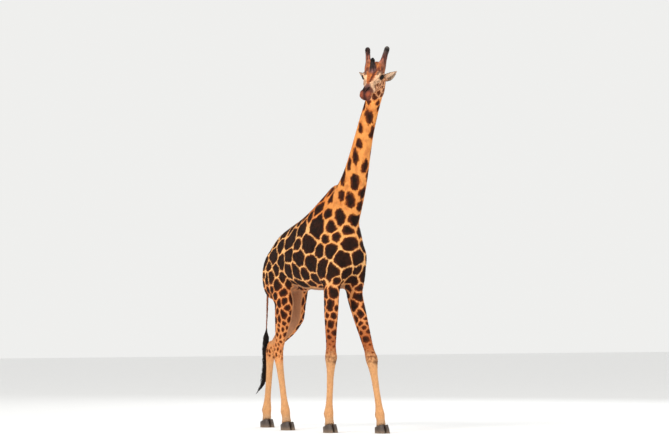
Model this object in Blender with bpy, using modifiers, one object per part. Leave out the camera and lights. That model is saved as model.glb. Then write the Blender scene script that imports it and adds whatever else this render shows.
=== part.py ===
"""A bull giraffe of the northern kind, standing in mid step with its head turned to its right.

Metres, +Z up. The animal's trunk lies along X with the chest at +X, and its left side is at +Y.
The whole body is blended from lofted forms and muscles, then parted with thin cuts into named parts.
Horns, ears, eyes, hooves, mane and tail are solids of their own that meet the body with a small gap.
"""

import math

import bmesh
import bpy
import numpy as np
from mathutils import Matrix, Vector

# ---------------------------------------------------------------- driving sizes
GAP = 0.0003  # kept between pieces that meet
CUT = 0.0004  # width of the cuts that part the body
BLEND_VOXEL = 0.011  # cell in which the lofts and muscles melt into one body
BODY_TRIANGLES = 4800  # what the blended body is brought down to before it is parted
RIM = 26  # points round a loft's section

LEG_CUT_Z = 1.93  # the legs leave the trunk at the elbow and the flank
CORONET_Z = 0.105  # middle of the hoof's upper edge
CORONET_SLOPE = 0.30  # rise of that edge towards the toe, per metre
HOOF_LENGTH = 0.205
HOOF_WIDTH = 0.092  # of one of the two claws
EYE_RADIUS = 0.035
HORN_TIP_RADIUS = 0.037
MANE_HEIGHT = 0.062
MANE_HALF = 0.017

# ---------------------------------------------------------------- pose
# Joint points of each leg from the top down: shoulder or hip, elbow or stifle, knee or hock,
# fetlock, and the middle of the sole.
FORELEGS = {
    "right": [(0.84, -0.20, 2.60), (0.775, -0.215, 2.00), (0.762, -0.212, 1.06),
              (0.700, -0.208, 0.27), (0.740, -0.208, 0.0)],
    "left": [(0.82, 0.19, 2.58), (0.735, 0.190, 1.96), (1.105, 0.245, 1.03),
             (1.255, 0.285, 0.26), (1.300, 0.290, 0.0)],
}
HINDLEGS = {
    "right": [(-0.70, -0.19, 2.36), (-0.50, -0.205, 1.82), (-0.645, -0.200, 1.09),
              (-0.445, -0.200, 0.27), (-0.385, -0.200, 0.0)],
    "left": [(-0.72, 0.17, 2.25), (-0.790, 0.172, 1.69), (-1.370, 0.130, 1.13),
             (-1.480, 0.135, 0.26), (-1.470, 0.135, 0.0)],
}
# Head: where the skull meets the neck, and the way it looks. Yaw turns it to the animal's right.
HEAD_AT = Vector((1.625, 0.005, 5.05))
HEAD_YAW = math.radians(-54.0)
HEAD_PITCH = math.radians(34.0)

# ---------------------------------------------------------------- section tables
# Each row is one section; what lies between rows is a smooth curve through them.
# Trunk: x, top, height of the widest place, bottom, half width.
TRUNK = [
    (-1.085, 2.33, 2.21, 2.10, 0.05),
    (-1.05, 2.43, 2.20, 2.00, 0.15),
    (-0.95, 2.64, 2.22, 1.99, 0.250),
    (-0.78, 2.82, 2.27, 1.99, 0.310),
    (-0.60, 2.905, 2.34, 2.01, 0.325),
    (-0.38, 2.985, 2.40, 2.06, 0.345),
    (-0.10, 3.09, 2.42, 2.03, 0.385),
    (0.20, 3.25, 2.46, 2.00, 0.395),
    (0.45, 3.41, 2.50, 2.00, 0.365),
    (0.65, 3.40, 2.52, 2.02, 0.330),
    (0.85, 3.20, 2.53, 2.10, 0.275),
    (0.98, 2.96, 2.54, 2.22, 0.200),
    (1.05, 2.76, 2.54, 2.34, 0.100),
]
# Neck: x, y, z of its line, half width, depth to the nape, depth to the throat.
NECK = [
    (0.45, 0.0, 2.75, 0.24, 0.36, 0.36),
    (0.68, 0.0, 3.05, 0.215, 0.33, 0.37),
    (0.86, 0.0, 3.30, 0.185, 0.255, 0.32),
    (1.02, 0.0, 3.58, 0.160, 0.180, 0.265),
    (1.16, 0.0, 3.90, 0.140, 0.135, 0.203),
    (1.29, 0.0, 4.22, 0.124, 0.110, 0.170),
    (1.43, 0.0, 4.52, 0.117, 0.092, 0.153),
    (1.55, 0.008, 4.78, 0.113, 0.080, 0.155),
    (1.62, 0.0, 4.96, 0.105, 0.070, 0.153),
]
# Head: distance from the back of the skull, top, height of the widest place, bottom, half width.
HEAD = [
    (-0.060, 0.045, 0.00, -0.040, 0.035),
    (-0.035, 0.085, 0.00, -0.095, 0.085),
    (0.05, 0.125, -0.01, -0.175, 0.104),
    (0.14, 0.135, -0.01, -0.195, 0.114),
    (0.22, 0.118, -0.01, -0.190, 0.120),
    (0.30, 0.090, -0.02, -0.165, 0.110),
    (0.38, 0.068, -0.03, -0.140, 0.092),
    (0.46, 0.054, -0.035, -0.120, 0.077),
    (0.54, 0.045, -0.035, -0.112, 0.075),
    (0.60, 0.032, -0.035, -0.112, 0.083),
    (0.65, 0.006, -0.040, -0.106, 0.079),
    (0.684, -0.025, -0.050, -0.085, 0.048),
]
# Legs: place along the joints (1.0 is the second joint), half width, depth in front, behind.
FORELEG = [
    (0.0, 0.100, 0.15, 0.20), (0.5, 0.115, 0.17, 0.22), (0.85, 0.108, 0.15, 0.19),
    (1.05, 0.100, 0.135, 0.155), (1.35, 0.092, 0.118, 0.125), (1.65, 0.078, 0.094, 0.096),
    (1.86, 0.070, 0.078, 0.084), (2.0, 0.090, 0.090, 0.092), (2.12, 0.074, 0.070, 0.086),
    (2.28, 0.058, 0.056, 0.068), (2.6, 0.052, 0.050, 0.060), (2.86, 0.056, 0.054, 0.064),
    (3.0, 0.072, 0.068, 0.082), (3.35, 0.064, 0.060, 0.066), (3.65, 0.084, 0.092, 0.080),
    (3.9, 0.090, 0.100, 0.085),
]
HINDLEG = [
    (0.0, 0.130, 0.24, 0.26), (0.45, 0.140, 0.24, 0.26), (0.8, 0.128, 0.19, 0.22),
    (1.0, 0.118, 0.136, 0.240), (1.3, 0.106, 0.086, 0.225), (1.6, 0.078, 0.070, 0.158),
    (1.85, 0.062, 0.066, 0.104), (2.0, 0.072, 0.080, 0.096), (2.12, 0.066, 0.068, 0.080),
    (2.3, 0.056, 0.054, 0.068), (2.65, 0.052, 0.050, 0.060), (2.86, 0.056, 0.056, 0.064),
    (3.0, 0.072, 0.068, 0.082), (3.35, 0.064, 0.060, 0.066), (3.65, 0.084, 0.092, 0.080),
    (3.9, 0.090, 0.100, 0.085),
]
# Tail: x, y, z of the dock's line and its radius. It swings back and to the left.
DOCK = [
    (-0.99, 0.0, 2.47, 0.050), (-1.08, 0.0, 2.445, 0.048), (-1.17, 0.004, 2.35, 0.038),
    (-1.245, 0.02, 2.18, 0.030), (-1.315, 0.045, 1.95, 0.023), (-1.395, 0.085, 1.65, 0.017),
    (-1.470, 0.120, 1.40, 0.014),
]
# Tail tuft: x, y, z of its line and its radius.
TUFT = [
    (-1.466, 0.118, 1.4135, 0.022), (-1.490, 0.128, 1.32, 0.045), (-1.512, 0.136, 1.18, 0.048),
    (-1.520, 0.138, 1.00, 0.042), (-1.530, 0.138, 0.84, 0.044), (-1.560, 0.134, 0.70, 0.052),
    (-1.615, 0.120, 0.60, 0.044), (-1.690, 0.100, 0.52, 0.022), (-1.720, 0.094, 0.47, 0.004),
]


# ---------------------------------------------------------------- frames
def head_axes():
    """The head's own axes: ahead along the nose, its left, and up through the horns."""
    level = Vector((math.cos(HEAD_YAW), math.sin(HEAD_YAW), 0))
    ahead = level * math.cos(HEAD_PITCH) - Vector((0, 0, 1)) * math.sin(HEAD_PITCH)
    left = Vector((0, 0, 1)).cross(level).normalized()
    return ahead, left, ahead.cross(left).normalized()


AHEAD, LEFT, UP = head_axes()


def on_head(ahead, left, up):
    """The place that lies that far ahead, left and up of the back of the skull."""
    return HEAD_AT + AHEAD * ahead + LEFT * left + UP * up


# ---------------------------------------------------------------- making meshes
def new_object(name, mesh, collection):
    obj = bpy.data.objects.new(name, mesh)
    collection.objects.link(obj)
    return obj


def object_from(bm, name, collection):
    bmesh.ops.recalc_face_normals(bm, faces=bm.faces)
    mesh = bpy.data.meshes.new(name)
    bm.to_mesh(mesh)
    bm.free()
    return new_object(name, mesh, collection)


def eased(rows, steps):
    """The rows with more between them, on a smooth curve through every column."""
    rows = np.array(rows, float)
    ends = np.vstack([2 * rows[0] - rows[1], rows, 2 * rows[-1] - rows[-2]])
    out = []
    for i in range(1, len(rows)):
        p0, p1, p2, p3 = ends[i - 1], ends[i], ends[i + 1], ends[i + 2]
        for t in np.arange(steps) / steps:
            out.append(
                0.5 * (2 * p1 + (p2 - p0) * t + (2 * p0 - 5 * p1 + 4 * p2 - p3) * t**2
                       + (3 * p1 - p0 - 3 * p2 + p3) * t**3)
            )
    return np.array(out + [rows[-1]])


def section(centre, side, rise, half, above, below, full=(2.0, 2.0), rim=RIM):
    """One closed section: half wide to each side, above and below its widest place. full says how
    square each half is: 2 is an ellipse, less is pointed."""
    points = []
    for k in range(rim):
        turn = 2 * math.pi * k / rim
        c, s = math.cos(turn), math.sin(turn)
        power = 2 / (full[0] if s > 0 else full[1])
        across = half * math.copysign(abs(c) ** power, c)
        up = (above if s > 0 else below) * math.copysign(abs(s) ** power, s)
        points.append(Vector(centre) + Vector(side) * across + Vector(rise) * up)
    return points


def loft(name, sections, collection):
    """A closed skin through the sections, each end closed by a flat face."""
    bm = bmesh.new()
    rings = [[bm.verts.new(p) for p in ring] for ring in sections]
    for low, high in zip(rings, rings[1:]):
        for k in range(len(low)):
            nxt = (k + 1) % len(low)
            bm.faces.new((low[k], low[nxt], high[nxt], high[k]))
    bm.faces.new(rings[0])
    bm.faces.new(rings[-1])
    return object_from(bm, name, collection)


def path_form(name, rows, collection, full=(2.0, 2.0), rim=RIM, side=(0, 1, 0)):
    """A loft along a line: rows of x, y, z, half width, depth on the far side and on the near."""
    points = [Vector(row[:3]) for row in rows]
    sections = []
    for i, row in enumerate(rows):
        run = (points[min(i + 1, len(rows) - 1)] - points[max(i - 1, 0)]).normalized()
        rise = run.cross(Vector(side)).normalized()
        across = rise.cross(run).normalized()
        sections.append(section(points[i], across, rise, *row[3:6], full, rim))
    return loft(name, sections, collection)


def round_path(name, rows, collection, rim):
    """A loft of round sections: rows of x, y, z, radius."""
    return path_form(name, [(*r[:3], r[3], r[3], r[3]) for r in rows], collection, rim=rim)


def ellipsoid(name, at, radii, axes, collection, around=20, rings=12):
    """An ellipsoid with its radii along the three axes."""
    bm = bmesh.new()
    bmesh.ops.create_uvsphere(bm, u_segments=around, v_segments=rings, radius=1.0)
    turn = Matrix(axes).transposed().to_4x4()
    bm.transform(Matrix.Translation(at) @ turn @ Matrix.Diagonal((*radii, 1)))
    return object_from(bm, name, collection)


def muscle(name, at, radii, collection, turn=(0, 0, 0)):
    """An ellipsoid on the body, turned by degrees about X, Y and Z."""
    spin = Matrix.Identity(3)
    for angle, axis in zip(turn, "XYZ"):
        spin = Matrix.Rotation(math.radians(angle), 3, axis) @ spin
    return ellipsoid(name, at, radii, spin.transposed(), collection)


def head_bump(name, ahead, left, up, radii, collection):
    """An ellipsoid on the head, its radii along the head's own axes."""
    return ellipsoid(name, on_head(ahead, left, up), radii, (AHEAD, LEFT, UP), collection)


# ---------------------------------------------------------------- body forms
def trunk_form(collection):
    side, rise = (0, 1, 0), (0, 0, 1)
    sections = [
        section((x, 0, wide), side, rise, half, top - wide, wide - bottom, (1.75, 2.3))
        for x, top, wide, bottom, half in eased(TRUNK, 3)
    ]
    return loft("trunk_form", sections, collection)


def leg_form(name, joints, profile, collection):
    """A leg from its joint points and its table of widths."""
    joints = [Vector(j) for j in joints]
    rows = []
    for place, half, front, back in eased(profile, 2):
        i = min(int(place), len(joints) - 2)
        at = joints[i].lerp(joints[i + 1], place - i)
        rows.append((*at, half, back, front))
    return path_form(name, rows, collection)


def head_form(collection):
    sections = [
        section(on_head(s, 0, wide), LEFT, UP, half, top - wide, wide - bottom, (2.2, 2.1))
        for s, top, wide, bottom, half in eased(HEAD, 3)
    ]
    return loft("head_form", sections, collection)


def body_muscles(collection):
    made = []
    for sign in (1, -1):
        made += [
            muscle("shoulder_blade", (0.60, sign * 0.19, 2.90), (0.20, 0.10, 0.42), collection,
                   (sign * 8, 18, 0)),
            muscle("shoulder_point", (0.865, sign * 0.19, 2.46), (0.14, 0.12, 0.20), collection),
            muscle("upper_arm", (0.64, sign * 0.245, 2.32), (0.22, 0.10, 0.25), collection,
                   (0, -25, 0)),
            muscle("hip_bone", (-0.45, sign * 0.20, 2.63), (0.13, 0.10, 0.13), collection),
            muscle("haunch", (-0.79, sign * 0.18, 2.24), (0.24, 0.140, 0.38), collection,
                   (0, 8, 0)),
        ]
    made.append(muscle("breast", (0.99, 0, 2.50), (0.11, 0.16, 0.24), collection))
    made.append(muscle("withers", (0.52, 0, 3.33), (0.27, 0.07, 0.15), collection, (0, -30, 0)))
    made.append(muscle("croup", (-0.80, 0, 2.60), (0.26, 0.09, 0.12), collection, (0, -28, 0)))
    made.append(muscle("sheath", (-0.22, 0, 2.04), (0.17, 0.055, 0.075), collection, (0, -10, 0)))
    return made


def leg_bones(collection):
    """Heel of the hock with its tendon, cap of the knee and the knob behind each fetlock."""
    made = []
    for joints in HINDLEGS.values():
        stifle, hock = Vector(joints[1]), Vector(joints[2])
        shin = (stifle - hock).normalized()
        back = Vector((-shin.z, 0, shin.x)).normalized()
        slope = math.degrees(math.atan2(shin.x, shin.z))
        made.append(muscle("hock_heel", hock + back * 0.085 + shin * 0.045,
                           (0.042, 0.038, 0.085), collection, (0, slope, 0)))
        made.append(muscle("hock_tendon", hock + back * 0.072 + shin * 0.18,
                           (0.026, 0.022, 0.17), collection, (0, slope - 6, 0)))
    for joints in FORELEGS.values():
        made.append(muscle("knee_cap", Vector(joints[2]) + Vector((0.028, 0, 0.0)),
                           (0.074, 0.086, 0.10), collection))
    for joints in (*FORELEGS.values(), *HINDLEGS.values()):
        made.append(muscle("ergot", Vector(joints[3]) + Vector((-0.045, 0, -0.01)),
                           (0.046, 0.058, 0.050), collection))
    return made


def head_bumps(collection):
    """Brows, cheeks, horn roots, nostrils, lips and chin."""
    made = [
        head_bump("horn_boss", 0.085, 0, 0.105, (0.12, 0.100, 0.055), collection),
        head_bump("upper_lip", 0.64, 0, -0.035, (0.054, 0.094, 0.052), collection),
        head_bump("chin", 0.60, 0, -0.102, (0.055, 0.055, 0.034), collection),
        head_bump("forehead", 0.190, 0, 0.080, (0.085, 0.070, 0.052), collection),
    ]
    for sign in (1, -1):
        made += [
            head_bump("brow", 0.225, sign * 0.118, 0.066, (0.075, 0.036, 0.036), collection),
            head_bump("eye_mound", 0.238, sign * 0.104, 0.030, (0.072, 0.042, 0.056), collection),
            head_bump("cheek_bone", 0.30, sign * 0.098, -0.010, (0.095, 0.028, 0.034), collection),
            head_bump("jaw", 0.125, sign * 0.042, -0.215, (0.115, 0.040, 0.098), collection),
            head_bump("nostril_wing", 0.605, sign * 0.056, 0.000, (0.044, 0.028, 0.034), collection),
            head_bump("horn_root", 0.085, sign * 0.086, 0.080, (0.085, 0.060, 0.085), collection),
        ]
    return made


# ---------------------------------------------------------------- blending and parting
def evaluated_copy(obj, name, collection):
    """A new object with the evaluated mesh of obj, which is then removed."""
    graph = bpy.context.evaluated_depsgraph_get()
    mesh = bpy.data.meshes.new_from_object(obj.evaluated_get(graph))
    made = new_object(name, mesh, collection)
    bpy.data.objects.remove(obj)
    return made


def joined(objects, name, collection):
    bm = bmesh.new()
    for obj in objects:
        bm.from_mesh(obj.data)
    for obj in objects:
        bpy.data.objects.remove(obj)
    return object_from(bm, name, collection)


def trunk_weight(point):
    """1 on the trunk and the base of the neck, falling to nothing on the legs and the head."""
    low = min(max((point.z - 1.75) / 0.45, 0), 1)
    high = min(max((3.9 - point.z) / 0.8, 0), 1)
    return low * high


def blended_body(collection):
    """Every form of flesh melted into one closed surface, with few enough faces."""
    forms = [trunk_form(collection), head_form(collection)]
    forms.append(path_form("neck_form", eased(NECK, 3), collection, (1.9, 2.1)))
    forms += [leg_form("fore_" + s, j, FORELEG, collection) for s, j in FORELEGS.items()]
    forms += [leg_form("hind_" + s, j, HINDLEG, collection) for s, j in HINDLEGS.items()]
    forms += body_muscles(collection) + leg_bones(collection) + head_bumps(collection)
    body = joined(forms, "body_forms", collection)
    melt = body.modifiers.new("melt", "REMESH")
    melt.mode = "VOXEL"
    melt.voxel_size = BLEND_VOXEL
    body = evaluated_copy(body, "body_melted", collection)
    group = body.vertex_groups.new(name="trunk")
    for vertex in body.data.vertices:
        group.add([vertex.index], trunk_weight(vertex.co), "REPLACE")
    ease = body.modifiers.new("ease", "SMOOTH")
    ease.iterations = 55
    ease.factor = 0.5
    ease.vertex_group = "trunk"
    soften = body.modifiers.new("soften", "SMOOTH")
    soften.iterations = 8
    soften.factor = 0.5
    body = evaluated_copy(body, "body_soft", collection)
    body.vertex_groups.clear()
    triangles = sum(len(p.vertices) - 2 for p in body.data.polygons)
    thin = body.modifiers.new("thin", "DECIMATE")
    thin.ratio = BODY_TRIANGLES / triangles
    thin.use_collapse_triangulate = True
    return evaluated_copy(body, "body", collection)


def subtracted(obj, cutters, name, collection):
    """obj without the cutters, which are used up."""
    for index, cutter in enumerate(cutters):
        take = obj.modifiers.new(f"cut_{index}", "BOOLEAN")
        take.operation = "DIFFERENCE"
        take.object = cutter
    made = evaluated_copy(obj, name, collection)
    for cutter in cutters:
        bpy.data.objects.remove(cutter)
    return made


def largest_piece(obj):
    """Drop the loose chips that a cut left beside the piece itself."""
    bm = bmesh.new()
    bm.from_mesh(obj.data)
    chips = sorted(islands(bm), key=len)[:-1]
    bmesh.ops.delete(bm, geom=[v for chip in chips for v in chip], context="VERTS")
    bm.to_mesh(obj.data)
    bm.free()
    return obj


def swollen(obj, by, collection):
    """A copy of obj grown by that much along its normals."""
    bm = bmesh.new()
    bm.from_mesh(obj.data)
    bm.normal_update()
    for vertex in bm.verts:
        vertex.co += vertex.normal * by * max(vertex.calc_shell_factor(), 1)
    return object_from(bm, obj.name + "_swollen", collection)


def coronet(joints):
    """The middle of the hoof's upper edge and the way it faces."""
    at = Vector((joints[4][0], joints[4][1], CORONET_Z))
    return at, Vector((-CORONET_SLOPE, 0, 1)).normalized()


def cut_at(bm, at, normal):
    """Part a mesh at a plane by a cut CUT wide, and close both sides of it."""
    at, normal = Vector(at), Vector(normal).normalized()
    for offset in (CUT / 2, -CUT / 2):
        geom = list(bm.verts) + list(bm.edges) + list(bm.faces)
        bmesh.ops.bisect_plane(bm, geom=geom, dist=1e-7, plane_co=at + normal * offset,
                               plane_no=normal)
    inside = [
        f for f in bm.faces if all(abs((v.co - at).dot(normal)) < CUT * 0.51 for v in f.verts)
    ]
    bmesh.ops.delete(bm, geom=inside, context="FACES")
    bmesh.ops.holes_fill(bm, edges=[e for e in bm.edges if e.is_boundary], sides=0)


def islands(bm):
    """The loose pieces of a mesh, each a list of its vertices."""
    found = []
    left = set(bm.verts)
    for start in bm.verts:
        if start not in left:
            continue
        left.remove(start)
        island = [start]
        for vertex in island:
            for edge in vertex.link_edges:
                other = edge.other_vert(vertex)
                if other in left:
                    left.remove(other)
                    island.append(other)
        found.append(island)
    return found


def pieces(bm, at, normal):
    """The loose pieces that a cut makes of a mesh, which is used up."""
    cut_at(bm, at, normal)
    found = []
    for island in islands(bm):
        place = {v: i for i, v in enumerate(island)}
        faces = {f for v in island for f in v.link_faces}
        piece = bmesh.new()
        verts = [piece.verts.new(v.co) for v in island]
        for face in sorted(faces, key=lambda f: f.index):
            piece.faces.new([verts[place[v]] for v in face.verts])
        found.append(piece)
    bm.free()
    return found


def height(bm):
    """The mean height of a mesh's corners."""
    return sum(v.co.z for v in bm.verts) / len(bm.verts)


def parted_body(body, collection):
    """The body cut into its named nodes: trunk, neck and head, and each leg in two. What is left
    of a leg under its coronet makes room for the hoof."""
    bm = bmesh.new()
    bm.from_mesh(body.data)
    bpy.data.objects.remove(body)
    legs = {"foreleg_" + k: j for k, j in FORELEGS.items()}
    legs |= {"hindleg_" + k: j for k, j in HINDLEGS.items()}
    nodes = []
    for piece in pieces(bm, (0, 0, LEG_CUT_Z), (0, 0, 1)):
        if height(piece) > LEG_CUT_Z:
            trunk, front = sorted(pieces(piece, (0.90, 0, 3.36), (0.50, 0, 0.86)), key=height)
            neck, head = sorted(pieces(front, on_head(0.10, 0, -0.312), UP), key=height)
            nodes += [("trunk", trunk), ("neck", neck), ("head", head)]
            continue
        foot = Vector(min(piece.verts, key=lambda v: v.co.z).co)
        name = min(legs, key=lambda k: (Vector(legs[k][4]) - foot).length)
        waste, leg = sorted(pieces(piece, *coronet(legs[name])), key=height)
        waste.free()
        joint = Vector(legs[name][2]).lerp(Vector(legs[name][3]), 0.2)
        cannon, upper = sorted(pieces(leg, joint, (0, 0, 1)), key=height)
        nodes += [(name + "_cannon", cannon), (name + "_upper", upper)]
    return [object_from(part, name, collection) for name, part in nodes]


# ---------------------------------------------------------------- horns, ears, eyes
def horn(name, base, tip, radii, collection, rim=10):
    """A straight horn from inside the skull to its rounded tip: radii are its half thickness at
    equal steps, the last of them the knob's."""
    rows = []
    for i, radius in enumerate(radii):
        t = i / (len(radii) - 1)
        at = base.lerp(tip, t)
        rows.append((*at, radius))
    run = (tip - base).normalized()
    knob = radii[-1]
    rows.append((*(tip + run * knob * 0.62), knob * 0.80))
    rows.append((*(tip + run * knob * 0.92), knob * 0.36))
    return round_path(name, rows, collection, rim)


def horns(collection):
    """Two main horns that lean back and apart, the left one stouter, and the third before them."""
    made = []
    for name, sign, stout in (("left", 1, 0.007), ("right", -1, 0.0)):
        base = on_head(0.140, sign * 0.084, 0.051)
        tip = on_head(-0.124, sign * 0.139 + stout, 0.260)
        radii = [0.060, 0.058, 0.052, 0.043, 0.036, 0.034, 0.033, 0.034, HORN_TIP_RADIUS]
        radii = [radius + stout * math.sin(math.pi * i / 8) for i, radius in enumerate(radii)]
        made.append(horn(f"horn_{name}", base, tip, radii, collection))
    base, tip = on_head(0.230, 0, 0.045), on_head(0.110, 0, 0.236)
    made.append(horn("horn_middle", base, tip, [0.060, 0.056, 0.048, 0.040, 0.034, 0.026], collection, 10))
    return made


def ear(name, sign, collection):
    """A leaf rolled into a scoop that opens forward: rows are the share of its length, its half
    width, how deep it is rolled and how thick it is."""
    rows = [
        (0.00, 0.046, 0.018, 0.022), (0.14, 0.064, 0.032, 0.014), (0.30, 0.072, 0.038, 0.010),
        (0.46, 0.067, 0.034, 0.008), (0.62, 0.056, 0.026, 0.007), (0.78, 0.038, 0.015, 0.006),
        (0.91, 0.018, 0.006, 0.005), (1.00, 0.004, 0.001, 0.004),
    ]
    root, tip = on_head(0.090, sign * 0.082, -0.098), on_head(0.018, sign * 0.277, -0.014)
    run = (tip - root).normalized()
    front = (AHEAD * 0.80 + LEFT * sign * 0.25 - UP * 0.15)
    front = (front - run * front.dot(run)).normalized()
    wide = run.cross(front).normalized()
    sections = []
    for t, half, deep, thick in rows:
        centre = root.lerp(tip, t) + front * 0.018 * math.sin(math.pi * t)
        back = []
        inner = []
        for k in range(-3, 4):
            s = k / 3
            roll = deep * (1 - s * s)
            back.append(centre + wide * half * s - front * (roll + thick * 0.5 * (1.2 - s * s)))
            inner.append(centre + wide * half * s - front * (roll - thick * 0.5 * (1.2 - s * s)))
        sections.append(back + inner[::-1])
    return loft(name, sections, collection)


def eye(name, sign, radius, collection):
    at = on_head(0.238, sign * 0.123, 0.030)
    return ellipsoid(name, at, (radius,) * 3, (AHEAD, LEFT, UP), collection, 12, 8)


# ---------------------------------------------------------------- hooves
def claw(name, joints, side, collection):
    """One of a foot's two claws: flat sole, sloping toe, and an upper edge that rises to the toe."""
    at, normal = coronet(joints)
    centre_y = joints[4][1] + side * (HOOF_WIDTH * 0.5 + 0.003)
    sections = []
    for share, swell, ahead in ((0.0, 1.0, 0.022), (0.45, 0.93, 0.010), (1.0, 0.82, -0.008)):
        ring = []
        for k in range(12):
            turn = 2 * math.pi * k / 12
            c, s = math.cos(turn), math.sin(turn)
            x = 0.5 * HOOF_LENGTH * swell * math.copysign(abs(c) ** 0.85, c)
            narrow = 1.0 - 0.42 * max(c, 0) ** 2
            y = 0.5 * HOOF_WIDTH * swell * math.copysign(abs(s) ** 0.70, s) * narrow
            lean = -side * 0.010 * max(c, 0)
            x_at = joints[4][0] + ahead + x
            top = at.z - 2 * GAP - (normal.x * (x_at - at.x)) / normal.z
            ring.append(Vector((x_at, centre_y + y + lean, share * top)))
        sections.append(ring)
    return loft(name, sections, collection)


def claws(collection):
    made = []
    for end, legs in (("fore", FORELEGS), ("hind", HINDLEGS)):
        for side, joints in legs.items():
            made.append(claw(f"hoof_{end}_{side}_a", joints, 1, collection))
            made.append(claw(f"hoof_{end}_{side}_b", joints, -1, collection))
    return made


# ---------------------------------------------------------------- mane and tail
def mane(collection):
    """The low crest of upright hair along the nape, from between the ears to the withers."""
    line = eased(NECK, 3)
    sections = []
    count = len(line) - 8
    for i in range(6, len(line) - 1):
        here, after = Vector(line[i][:3]), Vector(line[i + 1][:3])
        run = (after - here).normalized()
        nape = run.cross(Vector((0, 1, 0))).normalized()
        t = (i - 6) / count
        height = MANE_HEIGHT * min(1.0, 0.35 + 2.2 * t)
        foot = here + nape * (line[i][4] - 0.045)
        sections.append([
            foot + Vector((0, MANE_HALF * 1.5, 0)),
            foot + nape * (0.045 + height * 0.75) + Vector((0, MANE_HALF * 0.8, 0)),
            foot + nape * (0.045 + height),
            foot + nape * (0.045 + height * 0.75) - Vector((0, MANE_HALF * 0.8, 0)),
            foot - Vector((0, MANE_HALF * 1.5, 0)),
        ])
    return loft("mane", sections, collection)


# ---------------------------------------------------------------- materials
COATED = {"colour": (0.62, 0.33, 0.13), "rough": 0.85}
STOCKING = {"colour": (0.70, 0.55, 0.42), "rough": 0.85}
DARK_HAIR = {"colour": (0.035, 0.025, 0.022), "rough": 0.9}
HORNY = {"colour": (0.05, 0.04, 0.035), "rough": 0.5}
HORN_SKIN = {"colour": (0.20, 0.10, 0.06), "rough": 0.8}
PALE_EAR = {"colour": (0.75, 0.62, 0.50), "rough": 0.85}
GLOSS = {"colour": (0.01, 0.008, 0.008), "rough": 0.08}


def finish(obj, look):
    """Gives a piece its own material, in its plain colour."""
    material = bpy.data.materials.new(obj.name)
    material.use_nodes = True
    shader = material.node_tree.nodes["Principled BSDF"]
    shader.inputs["Base Color"].default_value = (*look["colour"], 1)
    shader.inputs["Roughness"].default_value = look["rough"]
    material.diffuse_color = (*look["colour"], 1)
    obj.data.materials.clear()
    obj.data.materials.append(material)


def centre_under(collection):
    """Move everything so that the origin lies on the ground under the middle of the whole."""
    corners = [v.co for obj in collection.objects for v in obj.data.vertices]
    low = Vector([min(c[i] for c in corners) for i in range(3)])
    high = Vector([max(c[i] for c in corners) for i in range(3)])
    shift = -(low + high) / 2
    shift.z = -low.z
    for obj in collection.objects:
        obj.data.transform(Matrix.Translation(shift))


def main():
    for obj in list(bpy.data.objects):
        bpy.data.objects.remove(obj)
    giraffe = bpy.data.collections.new("giraffe")
    bpy.context.scene.collection.children.link(giraffe)

    body = blended_body(giraffe)
    eyes = [eye(f"eye_{n}", s, EYE_RADIUS, giraffe) for n, s in (("left", 1), ("right", -1))]
    sockets = [eye("socket", s, EYE_RADIUS + GAP, giraffe) for s in (1, -1)]
    body = subtracted(body, sockets, "body_with_sockets", giraffe)

    set_in = horns(giraffe) + [mane(giraffe), round_path("tail_dock", eased(DOCK, 1), giraffe, 9)]
    set_in += [ear(f"ear_{n}", s, giraffe) for n, s in (("left", 1), ("right", -1))]
    fitted = {}
    for piece in set_in:
        name = piece.name
        piece.name = name + "_whole"
        fitted[name] = largest_piece(
            subtracted(piece, [swollen(body, 2 * GAP, giraffe)], name, giraffe)
        )
    tuft = round_path("tuft_form", eased(TUFT, 1), giraffe, 10)
    inside = [swollen(fitted["tail_dock"], GAP, giraffe)]
    fitted["tail_tuft"] = subtracted(tuft, inside, "tail_tuft", giraffe)

    for node in parted_body(body, giraffe):
        finish(node, STOCKING if node.name.endswith("cannon") else COATED)
    for obj in eyes:
        finish(obj, GLOSS)
    for obj in claws(giraffe):
        finish(obj, HORNY)
    centre_under(giraffe)
    looks = {"horn": HORN_SKIN, "ear": PALE_EAR, "mane": DARK_HAIR, "tail": DARK_HAIR}
    for name, obj in fitted.items():
        finish(obj, looks[name.split("_")[0]])


main()
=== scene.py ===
"""A bull giraffe in mid step: its skin, markings, coat, mane, tail, horns, ears, eyes and hooves.

Metres, +Z up. The animal faces +X with its left side at +Y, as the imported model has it.
"""

import math

import bmesh
import bpy
import numpy as np
from mathutils import Matrix, Vector, noise
from mathutils.bvhtree import BVHTree
from mathutils.kdtree import KDTree


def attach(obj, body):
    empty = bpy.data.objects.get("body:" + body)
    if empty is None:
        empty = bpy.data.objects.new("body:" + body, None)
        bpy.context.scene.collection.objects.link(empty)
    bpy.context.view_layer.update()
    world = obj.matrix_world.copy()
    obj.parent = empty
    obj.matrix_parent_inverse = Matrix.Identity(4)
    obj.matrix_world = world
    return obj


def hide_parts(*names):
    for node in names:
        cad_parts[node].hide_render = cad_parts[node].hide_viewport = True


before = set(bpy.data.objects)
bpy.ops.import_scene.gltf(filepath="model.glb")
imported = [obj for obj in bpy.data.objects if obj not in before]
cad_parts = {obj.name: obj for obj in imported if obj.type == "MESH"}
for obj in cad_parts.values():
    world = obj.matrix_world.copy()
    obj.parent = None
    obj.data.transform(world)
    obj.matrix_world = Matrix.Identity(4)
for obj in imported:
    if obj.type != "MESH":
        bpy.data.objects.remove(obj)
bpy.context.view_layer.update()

scene = bpy.context.scene

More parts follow.
